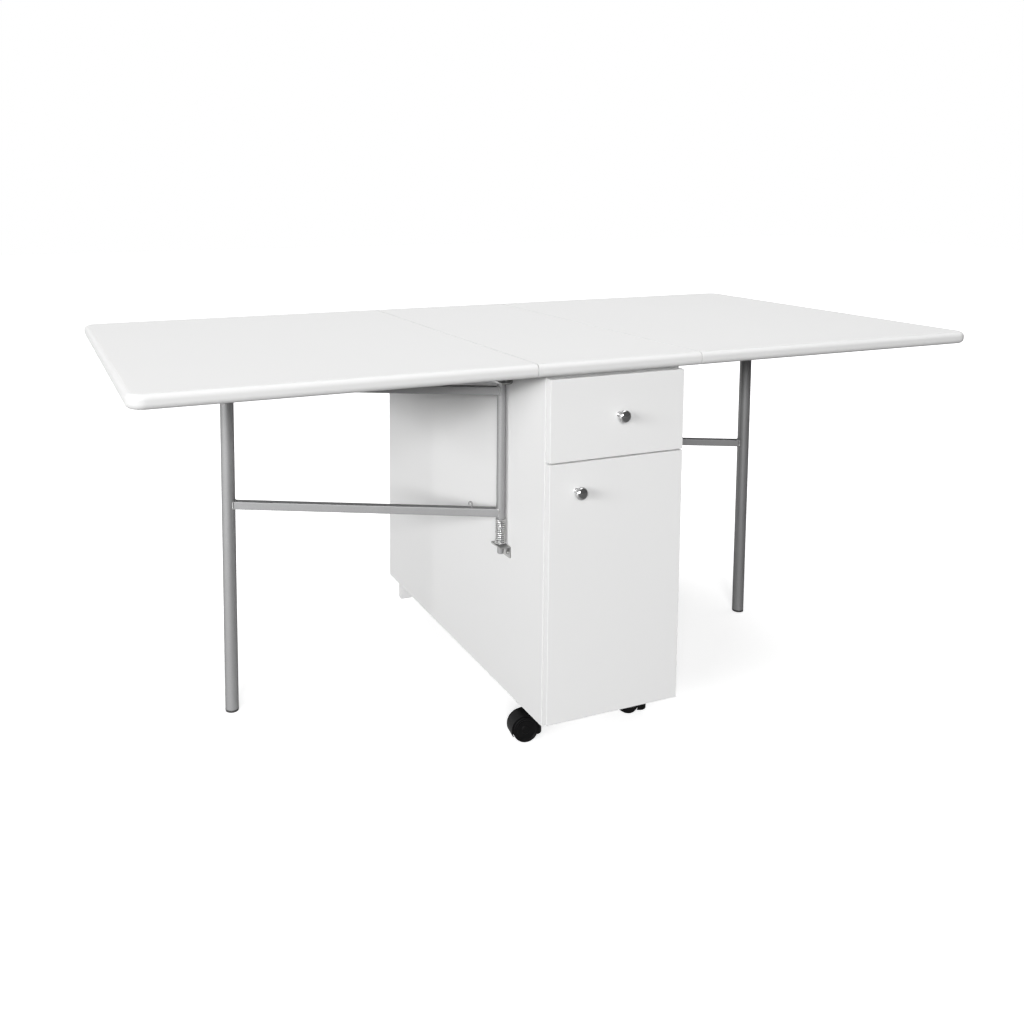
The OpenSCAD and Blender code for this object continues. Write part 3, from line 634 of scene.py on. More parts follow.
def cut_away(mesh: bpy.types.Mesh, cutter: bmesh.types.BMesh) -> bpy.types.Mesh:
    """Return a mesh with a cutter's shape taken out of it."""
    tool_mesh = bpy.data.meshes.new("cutter")
    cutter.to_mesh(tool_mesh)
    cutter.free()
    tool = bpy.data.objects.new("cutter", tool_mesh)
    blank = bpy.data.objects.new("blank", mesh)
    for item in (tool, blank):
        bpy.context.scene.collection.objects.link(item)
    change = blank.modifiers.new("cut", "BOOLEAN")
    change.operation = "DIFFERENCE"
    change.solver = "EXACT"
    change.use_self = True
    change.object = tool
    out = shown_mesh(blank)
    for item in (tool, blank):
        bpy.data.objects.remove(item)
    bpy.data.meshes.remove(tool_mesh)
    return out


# The table's sub-assemblies


class Side(Enum):
    """The table's two ends along X."""

    LEFT = "left"
    RIGHT = "right"

    @property
    def sign(self) -> float:
        """Return -1 on the left and 1 on the right."""
        return -1.0 if self is Side.LEFT else 1.0


@dataclass
class SidePart:
    """A sub-assembly that the table has once on each side."""

    shop: Shop
    side: Side

    def node(self, piece: str) -> str:
        """Return a node's full name on this side."""
        return f"{self.side.value}_{piece}"

    def axis_of(self, piece: str) -> Vector:
        """Return where an upright piece's axis meets the floor."""
        low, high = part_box(self.node(piece))
        return Vector(((low.x + high.x) / 2, (low.y + high.y) / 2, 0.0))


@dataclass
class Boards:
    """Laminated boards, with banded edges of their own finish."""

    shop: Shop
    edge: float = 0.5 * MM
    cut_edge: float = 0.3 * MM

    def band(self, bm: bmesh.types.BMesh, thickness_axis: int) -> None:
        """Give the faces along a board's thickness the second material."""
        for face in bm.faces:
            if abs(face.normal[thickness_axis]) < 0.5:
                face.material_index = 1

    def panel(self, node: str, body: str, edge: float | None = None) -> None:
        """Replace a plain board with one whose edges are banded and slightly rounded."""
        low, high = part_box(node)
        size = high - low
        bm = block(low, high, edge or self.edge, segments=3)
        self.finish(node, bm, body, min(range(3), key=lambda i: size[i]))

    def cut_panel(self, node: str, body: str, thickness_axis: int) -> None:
        """Replace a grooved or shaped board with a copy whose edges are slightly rounded."""
        bm = self.shop.softened(node, angle=30.0, radius=self.cut_edge, segments=2)
        self.finish(node, bm, body, thickness_axis)

    def finish(self, node: str, bm: bmesh.types.BMesh, body: str, thickness_axis: int) -> None:
        """Band a board's edges and make it a piece."""
        self.band(bm, thickness_axis)
        self.shop.piece(f"{node}_board", bm, Finishes.LAMINATE, body, [node],
                        extra=[Finishes.EDGE_BAND])


@dataclass
class TableTop:
    """Centre board and two drop leaves with rounded edges, and what is fixed under them."""

    shop: Shop
    screws: Screws
    pin_x: float
    corner: float = 30 * MM
    edge: float = 10 * MM
    seam_edge: float = 0.5 * MM
    flat_face: float = 0.99
    stop_edge: float = 1.5 * MM
    screw_r: float = 3.2 * MM
    hinge_half: float = 30 * MM
    sheet: float = 1.5 * MM
    hole_out: float = 19 * MM
    stagger: float = 6 * MM
    hole_pitch: float = 20 * MM

    def slab(self, node: str, free_ends: Sequence[float]) -> bmesh.types.BMesh:
        """Return a board of the top.

        Args:
            node: The frame node that gives its place.
            free_ends: The directions along X, -1 or 1, in which it has a free end.

        Returns:
            A mesh whose free edges are rounded and whose seams are square.
        """
        low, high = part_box(node)
        bm = block(low, high)
        for end in free_ends:
            x = high.x if end > 0 else low.x
            upright = [e for e in upright_edges(bm) if all(abs(v.co.x - x) < NEAR for v in e.verts)]
            round_edges(bm, upright, self.corner, segments=16)
        seams = [x for x, end in ((low.x, -1), (high.x, 1)) if end not in free_ends]

        def on_seam(edge: bmesh.types.BMEdge) -> bool:
            """Tell whether an edge lies in a seam's plane."""
            return any(all(abs(v.co.x - x) < NEAR for v in edge.verts) for x in seams)

        rim = [e for e in bm.edges
               if abs(e.verts[0].co.z - e.verts[1].co.z) < NEAR and not on_seam(e)]
        round_edges(bm, rim, self.edge, segments=8)
        cut = [e for e in bm.edges if on_seam(e) and e.is_manifold]
        round_edges(bm, cut, self.seam_edge, segments=2)
        bm.normal_update()
        # Faces that are not flat, the rounded rim, take the second material, which paints shade on
        # them.
        for face in bm.faces:
            face.material_index = int(abs(face.normal.z) < self.flat_face)
        return bm

    def build(self) -> None:
        """Make the three boards, the hinges' screws and the leg stops."""
        self.board("centre_top", "centre_board", "cabinet", [])
        for side in Side:
            leaf, stop = f"{side.value}_leaf", f"{side.value}_leg_stop"
            self.board(leaf, f"{leaf}_board", leaf, [side.sign])
            bm = self.shop.softened(stop, angle=30.0, radius=self.stop_edge, segments=3)
            self.shop.piece(f"{stop}_block", bm, Finishes.PLASTIC, leaf, [stop])
        plates = ["centre_hinge_plates", "left_leaf_hinge_plates", "right_leaf_hinge_plates"]
        self.shop.dress([*plates, "hinge_pins"], Finishes.ZINC)
        self.hinge_screws()

    def board(self, node: str, name: str, body: str, free_ends: Sequence[float]) -> None:
        """Make one board of the top, its rim in a darker copy of the laminate that paints shade on
        the rounded edge.
        """
        self.shop.piece(name, self.slab(node, free_ends), Finishes.LAMINATE, body, [node],
                        extra=[Finishes.TOP_RIM])

    def hinge_screws(self) -> None:
        """Put three flush screws in each plate of the leaf hinges."""
        low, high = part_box("right_leaf_hinge_plates")
        middles = (low.y + self.hinge_half, (low.y + high.y) / 2, high.y - self.hinge_half)
        plate_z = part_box("centre_top")[0].z - self.sheet
        rows = ((-self.hole_pitch, self.hole_out), (0.0, self.hole_out - self.stagger),
                (self.hole_pitch, self.hole_out))
        fixed, moving = [], {side: [] for side in Side}
        for side in Side:
            for y in middles:
                for shift, reach in rows:
                    for spots, way in ((fixed, -1.0), (moving[side], 1.0)):
                        x = side.sign * (self.pin_x + way * reach)
                        spots.append(((x, y + shift, plate_z), (0, 0, -1)))
        screw_rows = [("centre_hinge_screws", "cabinet", fixed)]
        for side in Side:
            leaf = f"{side.value}_leaf"
            screw_rows.append((f"{leaf}_hinge_screws", leaf, moving[side]))
        for name, body, spots in screw_rows:
            heads = self.screws.row(Drive.FLAT, self.screw_r, spots)
            self.shop.piece(name, heads, Finishes.ZINC, body)


@dataclass
class Cabinet:
    """The carcass: panels, divider, rails, plinth, runners and magnet."""

    shop: Shop
    boards: Boards
    screws: Screws
    strip_edge: float = 1.2 * MM
    strip_screw_r: float = 2.8 * MM
    strip_screw_in: float = 7.6 * MM
    strip_screw_shares: tuple[float, ...] = (0.08, 0.5, 0.92)
    case_edge: float = 1.2 * MM
    case_back: float = 0.6 * MM
    pole_in: float = 6 * MM
    pole_deep: float = 3 * MM
    pole_apart: float = 3 * MM
    pole_half: float = 1 * MM
    pole_edge: float = 0.2 * MM

    def build(self) -> None:
        """Make the carcass."""
        for node in ("left_side_panel", "right_side_panel", "bottom_panel", "back_panel",
                     "drawer_divider"):
            self.boards.panel(node, "cabinet")
        self.boards.cut_panel("rear_plinth", "cabinet", 1)
        self.boards.cut_panel("top_rails", "cabinet", 2)
        self.runners()
        self.magnet()

    def runners(self) -> None:
        """Make the drawer's runner strips with their screws."""
        bm = self.shop.softened("drawer_runners", angle=30.0, radius=self.strip_edge, segments=3)
        self.shop.piece("runner_strips", bm, Finishes.PLASTIC, "cabinet", ["drawer_runners"])
        low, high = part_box("drawer_runners")
        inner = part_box("drawer_left_side")[0].x + self.strip_screw_in
        z = (low.z + high.z) / 2
        spots = [((sign * -inner, low.y + (high.y - low.y) * share, z), (-sign, 0, 0))
                 for sign in (-1, 1) for share in self.strip_screw_shares]
        heads = self.screws.row(Drive.FLAT, self.strip_screw_r, spots)
        self.shop.piece("runner_screws", heads, Finishes.ZINC, "cabinet")

    def magnet(self) -> None:
        """Make the magnet's case with its two pole plates."""
        low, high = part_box("door_magnet")
        case = block(low + Vector((0, self.case_back, 0)), high, self.case_edge, segments=3)
        self.shop.piece("magnet_case", case, Finishes.PLASTIC, "cabinet", ["door_magnet"])
        middle = (low.z + high.z) / 2
        left, right, back = low.x + self.pole_in, high.x - self.pole_in, low.y + self.pole_deep
        poles = [block(Vector((left, low.y, z - self.pole_half)),
                       Vector((right, back, z + self.pole_half)), self.pole_edge)
                 for z in (middle - self.pole_apart, middle + self.pole_apart)]
        self.shop.piece("magnet_poles", joined(poles), Finishes.MAGNET, "cabinet")


@dataclass
class Knob:
    """A turned mushroom knob and the machine screw behind it."""

    shop: Shop
    head_r: float = 12 * MM
    head_half: float = 7 * MM
    reach: float = 27 * MM
    foot_r: float = 5 * MM
    stem_r: float = 3.25 * MM
    screw_r: float = 2 * MM
    screw_head_r: float = 4 * MM
    screw_head: float = 2.2 * MM

    def profile(self) -> Profile:
        """Return the knob's outline from its foot to the crown."""
        middle = self.reach - self.head_half
        start = -math.acos(self.stem_r / self.head_r)
        head = [(self.head_r * math.cos(a), middle + self.head_half * math.sin(a))
                for a in (start + (math.pi / 2 - start) * i / 28 for i in range(29))]
        lip = 0.3 * MM
        foot = [(0.0, 0.0), (self.foot_r - lip, 0.0), (self.foot_r, lip), (self.foot_r, 1.3 * MM),
                (self.foot_r - lip, 1.6 * MM), (self.stem_r + 1.0 * MM, 2.0 * MM),
                (self.stem_r + 0.2 * MM, 2.8 * MM), (self.stem_r, 3.8 * MM)]
        return foot + head[:-1] + [(0.0, self.reach)]

    def build(self, node: str, body: str) -> None:
        """Make the knob in place of its node, with its screw."""
        low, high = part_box(node)
        middle = (low + high) / 2
        face = Vector((middle.x, low.y + self.reach, middle.z))
        knob = lathe(self.profile(), steps=56)
        # The stem's faces take the lighter copy of the nickel, which paints a reflection on them.
        for turned in knob.faces:
            if turned.calc_center_median().z < self.reach - 2 * self.head_half:
                turned.material_index = 1
        knob = place(knob, turn_to((0, -1, 0), face))
        self.shop.piece(f"{node}_turned", knob, Finishes.KNOB, body, [node], extra=[Finishes.STEM])
        end = high.y - face.y
        seat = end - self.screw_head
        thread, rim = self.screw_r, self.screw_head_r
        outline = [(0.0, 0.0), (thread, 0.0), (thread, seat), (rim, seat),
                   (rim - 0.3 * MM, end - 0.5 * MM), (rim - 1.4 * MM, end), (0.0, end)]
        screw = place(lathe(outline, steps=28), turn_to((0, 1, 0), face))
        self.shop.piece(f"{node}_screw", screw, Finishes.ZINC, body)


@dataclass
class Drawer:
    """The drawer: front, grooved sides, back, bottom and knob."""

    shop: Shop
    boards: Boards
    knob: Knob
    front_edge: float = 0.7 * MM

    def build(self) -> None:
        """Make the drawer."""
        self.boards.panel("drawer_front", "drawer", self.front_edge)
        for side in Side:
            self.boards.cut_panel(f"drawer_{side.value}_side", "drawer", 0)
        self.boards.panel("drawer_back", "drawer")
        floor = block(*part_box("drawer_bottom"), 0.2 * MM)
        self.shop.piece("drawer_floor", floor, Finishes.HARDBOARD, "drawer", ["drawer_bottom"])
        self.knob.build("drawer_knob", "drawer")


@dataclass
class Door:
    """The door with its knob, hinges and strike plate."""

    shop: Shop
    boards: Boards
    knob: Knob
    screws: Screws
    pin: Vector
    front_edge: float = 0.7 * MM
    screw_r: float = 2.5 * MM
    hinge_half: float = 30 * MM
    hole_out: float = 10.2 * MM
    hole_pitch: float = 20 * MM
    face_gap: float = 0.15 * MM

    def hinge_screws(self) -> None:
        """Put three flush screws in each plate of the door's hinges."""
        low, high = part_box("door_hinge_door_plates")
        spots = [(self.pin.x - self.hole_out, z + shift)
                 for z in (low.z + self.hinge_half, high.z - self.hinge_half)
                 for shift in (-self.hole_pitch, 0.0, self.hole_pitch)]
        for name, body, way in (("door_hinge_screws", "door", 1.0),
                                ("frame_hinge_screws", "cabinet", -1.0)):
            seats = [((x, self.pin.y - way * self.face_gap, z), (0, way, 0)) for x, z in spots]
            heads = self.screws.row(Drive.FLAT, self.screw_r, seats)
            self.shop.piece(name, heads, Finishes.ZINC, body)

    def build(self) -> None:
        """Make the door."""
        self.hinge_screws()
        self.boards.panel("door_panel", "door", self.front_edge)
        self.shop.dress(["door_hinge_frame_plates", "door_hinge_door_plates"], Finishes.ZINC)
        plate = block(*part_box("door_strike"), 0.3 * MM)
        self.shop.piece("strike_plate", plate, Finishes.ZINC, "door", ["door_strike"])
        self.knob.build("door_knob", "door")


@dataclass
class Gate(SidePart):
    """One swing-out gate: leg, post and two square rails, welded together."""

    leg_r: float = 13.45 * MM
    leg_wall: float = 1.5 * MM
    post_r: float = 8.6 * MM
    post_wall: float = 2.54 * MM
    tube_lip: float = 0.3 * MM
    rail_corner: float = 2.5 * MM
    rail_cuts: int = 9
    cope_in: float = 0.2 * MM
    bead: float = 2.1 * MM
    bead_step: float = 0.7 * MM
    bead_out: float = 0.1 * MM
    bead_angle: float = 80.0
    plug_r: float = 13.65 * MM
    plug_bore: float = 11.9 * MM
    plug_in: float = 14 * MM
    hook_r: float = 1.5 * MM
    hook_at: float = 56 * MM
    hook_foot: float = 4 * MM
    hook_tail: float = 2 * MM
    hook_steps: int = 12

    def tube(self, piece: str, wall: float) -> None:
        """Replace an upright tube with one whose rims are rounded."""
        low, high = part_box(self.node(piece))
        outer = self.leg_r if piece == "leg_tube" else (high.x - low.x) / 2
        inner, lip = outer - wall, self.tube_lip
        loop = [(outer, low.z + lip), (outer, high.z - lip), (outer - lip, high.z), (inner, high.z),
                (inner, low.z), (outer - lip, low.z), (outer, low.z + lip)]
        pipe = place(lathe(loop, steps=64), Matrix.Translation(self.axis_of(piece)))
        self.add(piece, "pipe", pipe)

    def add(self, piece: str, form: str, bm: bmesh.types.BMesh) -> None:
        """Make a silver-painted piece of the gate in place of its node."""
        node = self.node(piece)
        self.shop.piece(f"{node}_{form}", bm, Finishes.TUBE, self.node("gate"), [node])

    def arm(self) -> Vector:
        """Return the level line from the post's axis to the leg's."""
        return self.axis_of("leg_tube") - self.axis_of("post")

    def rail(self, piece: str) -> None:
        """Replace a square rail with one that has rounded arrises and coped ends."""
        low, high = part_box(self.node(piece))
        arm = self.arm()
        along, reach = arm.normalized(), arm.length
        half = (high.z - low.z) / 2
        bm = block(Vector((0, -half, -half)), Vector((reach, half, half)))
        across = [e for e in bm.edges if abs(e.verts[0].co.y - e.verts[1].co.y) > half]
        bmesh.ops.subdivide_edges(bm, edges=across, cuts=self.rail_cuts, use_grid_fill=True)
        arrises = [e for e in bm.edges
                   if all(abs(abs(v.co.y) - half) < SEAM and abs(abs(v.co.z) - half) < SEAM
                          for v in e.verts)]
        round_edges(bm, arrises, self.rail_corner, segments=4)
        for vert in bm.verts:
            far = vert.co.x >= reach / 2
            radius = self.leg_r if far else self.post_r
            depth = math.sqrt(radius ** 2 - vert.co.y ** 2) - self.cope_in
            vert.co.x = reach - depth if far else depth
        spot = self.axis_of("post")
        spot.z = (low.z + high.z) / 2
        seat = Matrix.Translation(spot) @ Matrix.Rotation(math.atan2(along.y, along.x), 4, "Z")
        self.add(piece, "bar", place(bm, seat))
        beads = [self.weld(half, self.post_r, 1.0, 0.0), self.weld(half, self.leg_r, -1.0, reach)]
        # The beads take a lighter copy of the tube paint, which paints glints on them.
        self.shop.piece(f"{self.node(piece)}_welds", place(joined(beads), seat), Finishes.WELD,
                        self.node("gate"), crease=self.bead_angle)

    def weld(self, half: float, radius: float, way: float, start: float) -> bmesh.types.BMesh:
        """Return the bead round a rail's end where it meets an upright tube.

        Args:
            half: Half the rail's width.
            radius: The upright tube's radius.
            way: 1 where the rail leaves the tube along +X, -1 along -X.
            start: The tube's axis, along X.

        Returns:
            A rippled bead in the rail's own axes.
        """
        corner = self.rail_corner
        inner = half - corner
        loop: Profile = []
        for quarter, (y, z) in enumerate(((1, 1), (-1, 1), (-1, -1), (1, -1))):
            first = 90 * quarter
            loop += arc((y * inner, z * inner), corner, first, first + 90, 6)
        fine: list[Vector] = []
        for (y0, z0), (y1, z1) in zip(loop, loop[1:] + loop[:1]):
            steps = max(1, round(math.hypot(y1 - y0, z1 - z0) / self.bead_step))
            for i in range(steps):
                y, z = y0 + (y1 - y0) * i / steps, z0 + (z1 - z0) * i / steps
                surface = math.sqrt(radius ** 2 - min(abs(y), radius) ** 2)
                fine.append(Vector((start + way * (surface + self.bead_out), y, z)))
        return wire_mesh(fine, self.bead, sides=4, closed=True, swell=self.ripple)

    @staticmethod
    def ripple(index: int) -> float:
        """Return a weld bead's share of its radius at a point along it."""
        return 0.86 + 0.16 * math.sin(index * 1.9) + 0.06 * math.sin(index * 0.53)

    def plugs(self) -> None:
        """Make the rubber tip on the floor and the plug under the leaf."""
        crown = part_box(self.node("leg_plugs"))[1].z
        tube_low, tube_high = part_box(self.node("leg_tube"))
        outer, bore, tip, top = self.plug_r, self.plug_bore, tube_low.z, tube_high.z
        foot = [(0.0, 0.0), (outer - 1.4 * MM, 0.0), (outer - 0.5 * MM, 0.5 * MM),
                (outer - 0.2 * MM, 1.6 * MM), (outer, tip - 1.0 * MM), (outer - 0.5 * MM, tip),
                (bore, tip), (bore, tip + self.plug_in), (0.0, tip + self.plug_in)]
        cap = [(0.0, top - self.plug_in), (bore, top - self.plug_in), (bore, top),
               (outer - 0.3 * MM, top), (outer - 0.2 * MM, top + 0.4 * MM),
               (outer - 0.9 * MM, crown - 0.3 * MM), (outer - 1.6 * MM, crown), (0.0, crown)]
        ends = joined([lathe(foot, steps=64), lathe(cap, steps=64)])
        bm = place(ends, Matrix.Translation(self.axis_of("leg_tube")))
        self.shop.piece(self.node("leg_rubbers"), bm, Finishes.RUBBER, self.node("gate"),
                        [self.node("leg_plugs")])

    def hook(self) -> None:
        """Make the bent wire hook on the lower rail."""
        low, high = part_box(self.node("catch_hook"))
        along = self.arm().normalized()
        foot = self.axis_of("post") + along * self.hook_at
        bend = 2 * self.hook_r
        shoulder = high.z - self.hook_r - bend

        def spot(out: float, height: float) -> Vector:
            """Return a point of the hook, out along the rail and up from the floor."""
            return foot + along * out + Vector((0, 0, height))

        path = [spot(0, low.z), spot(0, low.z + self.hook_foot)]
        for step in range(self.hook_steps + 1):
            angle = math.pi * (1 - step / self.hook_steps)
            path.append(spot(bend + bend * math.cos(angle), shoulder + bend * math.sin(angle)))
        path.append(spot(2 * bend, shoulder - self.hook_tail))
        puddle = lathe([(0.0, 0.0), (2.9 * MM, 0.0), (2.6 * MM, 0.6 * MM), (1.7 * MM, 1.3 * MM),
                        (0.0, 1.5 * MM)], steps=20)
        puddle = place(puddle, Matrix.Translation(spot(0, low.z)))
        bm = joined([wire_mesh(path, self.hook_r, sides=6), puddle])
        self.shop.piece(self.node("hook_wire"), bm, Finishes.TUBE, self.node("gate"),
                        [self.node("catch_hook")])

    def build(self) -> None:
        """Make the gate."""
        self.tube("leg_tube", self.leg_wall)
        self.tube("post", self.post_wall)
        self.rail("lower_rail")
        self.rail("upper_rail")
        self.plugs()
        self.hook()


@dataclass
class Pivot(SidePart):
    """What a gate turns on: rod, two angle brackets and the spring; the brackets' screws are made
    apart.
    """

    nose: float = 3 * MM
    bracket_edge: float = 0.25 * MM
    coil_r: float = 11 * MM
    wire_d: float = 2.4 * MM
    curls: int = 12
    curl_steps: int = 28
    flat_pitch: float = 3.0 * MM

    def rod(self) -> None:
        """Make the rod with rounded ends."""
        low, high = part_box(self.node("pivot_rod"))
        radius = (high.x - low.x) / 2
        foot = [(radius * math.sin(a), low.z + self.nose * (1 - math.cos(a)))
                for a in (math.radians(degrees) for degrees in range(0, 91, 10))]
        crown = [(r, high.z + low.z - z) for r, z in reversed(foot)]
        bm = place(lathe(foot + crown, steps=40), Matrix.Translation(self.axis_of("pivot_rod")))
        self.shop.piece(self.node("rod_turned"), bm, Finishes.TUBE, "cabinet",
                        [self.node("pivot_rod")])

    def bracket(self, piece: str) -> None:
        """Make an angle bracket, its sheared edges broken."""
        node = self.node(piece)
        bm = self.shop.softened(node, angle=50.0, radius=self.bracket_edge, segments=2)
        self.shop.piece(f"{node}_angle", bm, Finishes.ZINC, "cabinet", [node])

    def spring_path(self, height: float) -> list[Vector]:
        """Return the points of the spring's wire, from the bottom of its coil."""
        rise = height - self.wire_d - 2 * self.flat_pitch
        radius = self.coil_r - self.wire_d / 2
        path = []
        for i in range(self.curl_steps * self.curls + 1):
            turn = i / self.curl_steps
            if turn < 1:
                z = turn * self.flat_pitch
            elif turn > self.curls - 1:
                z = self.flat_pitch + rise + (turn - self.curls + 1) * self.flat_pitch
            else:
                z = self.flat_pitch + (turn - 1) * rise / (self.curls - 2)
            angle = math.tau * turn + (math.pi if self.side is Side.RIGHT else 0.0)
            level = self.wire_d / 2 + z
            path.append(Vector((radius * math.cos(angle), radius * math.sin(angle), level)))
        return path

    def spring(self) -> None:
        """Make the coiled spring."""
        low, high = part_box(self.node("spring"))
        spot = self.axis_of("pivot_rod")
        spot.z = low.z
        path = [point + spot for point in self.spring_path(high.z - low.z)]
        bm = wire_mesh(path, self.wire_d / 2, sides=6)
        self.shop.piece(self.node("spring_wire"), bm, Finishes.SPRING, "cabinet",
                        [self.node("spring")])

    def build(self) -> None:
        """Make the pivot."""
        self.rod()
        self.bracket("lower_bracket")
        self.bracket("upper_bracket")
        self.spring()


@dataclass
class BracketScrews:
    """The pan-head screws that hold all four brackets."""

    shop: Shop
    screws: Screws
    radius: float = 4.05 * MM
    pitch: float = 20 * MM
    drop: float = 15 * MM
    sheet: float = 3 * MM

    def build(self) -> None:
        """Make the screws' heads on the brackets' flanges."""
        spots = []
        for side in Side:
            for piece in ("lower_bracket", "upper_bracket"):
                low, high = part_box(f"{side.value}_{piece}")
                face = (low.x if side is Side.RIGHT else high.x) + side.sign * self.sheet
                z = low.z + self.drop if piece.startswith("upper") else high.z - self.drop
                middle = (low.y + high.y) / 2
                spots += [((face, middle + way * self.pitch / 2, z), (side.sign, 0, 0))
                          for way in (-1, 1)]
        heads = self.screws.row(Drive.PAN, self.radius, spots)
        self.shop.piece("bracket_screw_heads", heads, Finishes.ZINC, "cabinet", ["bracket_screws"])


@dataclass
class Caster(SidePart):
    """One twin-wheel caster: hood, axle and two wheels."""

    joints: dict[str, dict]
    hood_edge: float = 0.7 * MM
    wheel_r: float = 25 * MM
    wheel_w: float = 10.4 * MM
    bore: float = 2.56 * MM
    shoulder: float = 2 * MM
    web_half: float = 6.5 * MM
    side_gap: float = 0.5 * MM

    def hood(self) -> None:
        """Make the hood, its edges rounded as moulded plastic."""
        node = self.node("caster_hood")
        bm = self.shop.softened(node, angle=40.0, radius=self.hood_edge, segments=2)
        self.shop.piece(self.node("hood_shell"), bm, Finishes.NYLON, self.node("caster"), [node])

    def wheel_profile(self) -> Profile:
        """Return a wheel's outline from its inner face, at height 0, to its outer face."""
        r, w, bore, edge = self.wheel_r, self.wheel_w, self.bore, self.shoulder
        tread = [*arc((r - edge, edge), edge, -90, 0, 6),
                 *arc((r - edge, w - edge), edge, 0, 90, 6)]
        inner = [(bore, 0.0), (r - 6 * MM, 0.0), (r - 5 * MM, 1 * MM), (r - 3 * MM, 1 * MM),
                 (r - 2.5 * MM, 0.0)]
        outer = [(r - 4.4 * MM, w), (r - 4.9 * MM, w - 0.4 * MM), (r - 5.6 * MM, w - 1.1 * MM),
                 (8.6 * MM, w - 1.3 * MM), (7.9 * MM, w - 0.7 * MM), (7.4 * MM, w - 0.35 * MM),
                 (4.2 * MM, w - 0.2 * MM), (0.0, w - 0.2 * MM)]
        blind = [(0.0, w - 1.6 * MM), (bore, w - 1.6 * MM), (bore, 0.0)]
        return [*inner, *tread, *outer, *blind]

    def wheels(self) -> None:
        """Make both wheels."""
        for place_name, way in (("near", 1.0), ("far", -1.0)):
            joint = self.joints[self.node(f"{place_name}_wheel_roll")]
            centre, axis = Vector(joint["pos_m"]), Vector(joint["axis"])
            start = centre + axis * way * (self.web_half + self.side_gap)
            bm = place(lathe(self.wheel_profile(), steps=72), turn_to(axis * way, start))
            node = self.node(f"caster_{place_name}_wheel")
            self.shop.piece(f"{node}_disc", bm, Finishes.NYLON, node, [node])

    def build(self) -> None:
        """Make the caster."""
        self.hood()
        self.wheels()
        self.shop.dress([self.node("caster_axle")], Finishes.ZINC)


@dataclass
class CasterPlates:
    """The mounting plates of both casters, with their king pins and wood screws."""

    shop: Shop
    screws: Screws
    joints: dict[str, dict]
    half: float = 19 * MM
    thick: float = 2.5 * MM
    corner: float = 4 * MM
    edge: float = 0.4 * MM
    race_r: float = 10 * MM
    pin_r: float = 4 * MM
    screw_r: float = 3.6 * MM
    hole_in: float = 5.5 * MM

    def plate(self, centre: Vector, top: float) -> bmesh.types.BMesh:
        """Return one plate, its top at a height, round a centre on the floor."""
        low = centre + Vector((-self.half, -self.half, top - self.thick))
        high = centre + Vector((self.half, self.half, top))
        bm = block(low, high)
        round_edges(bm, upright_edges(bm), self.corner, segments=6)
        round_edges(bm, sharp_edges(bm, 45.0), self.edge, segments=2)
        return bm

    def build(self) -> None:
        """Make the plates and their screws."""
        foot, top = (corner.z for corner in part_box("caster_plates"))
        under = top - self.thick
        lip, pin_r = self.race_r, self.pin_r
        race = [(0.0, under - 2.9 * MM), (lip - 1.4 * MM, under - 2.9 * MM),
                (lip - 0.4 * MM, under - 2.3 * MM), (lip, under - 1.2 * MM),
                (lip, under + 0.5 * MM), (0.0, under + 0.5 * MM)]
        pin = [(0.0, foot), (pin_r - 0.4 * MM, foot), (pin_r, foot + 0.4 * MM), (pin_r, under),
               (0.0, under)]
        parts, spots = [], []
        for side in Side:
            centre = Vector(self.joints[f"{side.value}_caster_swivel"]["pos_m"])
            centre.z = 0
            seat = Matrix.Translation(centre)
            parts += [self.plate(centre, top), place(lathe(race, steps=40), seat),
                      place(lathe(pin, steps=32), seat)]
            reach = self.half - self.hole_in
            spots += [((centre.x + i * reach, centre.y + j * reach, under), (0, 0, -1))
                      for i in (-1, 1) for j in (-1, 1)]
        self.shop.piece("caster_top_plates", joined(parts), Finishes.ZINC, "cabinet",
                        ["caster_plates"])
        heads = self.screws.row(Drive.PAN, self.screw_r, spots)
        self.shop.piece("caster_plate_screws", heads, Finishes.ZINC, "cabinet")


# The studio


@dataclass(frozen=True)
class Lamp:
    """A soft lamp that faces the table.

    Its azimuth runs from -X towards -Y and its elevation up from the level, in degrees. Its
    size is in metres and its power in watts.
    """

    name: str
    azimuth: float
    elevation: float
    size: tuple[float, float]
    power: float

    def hang(self, aim: float, reach: float) -> None:
        """Hang the lamp at a distance from a point above the floor's middle."""
        data = bpy.data.lights.new(self.name, "AREA")
        data.shape = "RECTANGLE"
        data.size, data.size_y = self.size
        data.energy = self.power
        made = bpy.data.objects.new(self.name, data)
        around, above = math.radians(self.azimuth), math.radians(self.elevation)
        level = math.cos(above)
        way = Vector((-math.cos(around) * level, -math.sin(around) * level, math.sin(above)))
        made.matrix_world = turn_to(way, Vector((0.0, 0.0, aim)) + way * reach)
        bpy.context.scene.collection.objects.link(made)


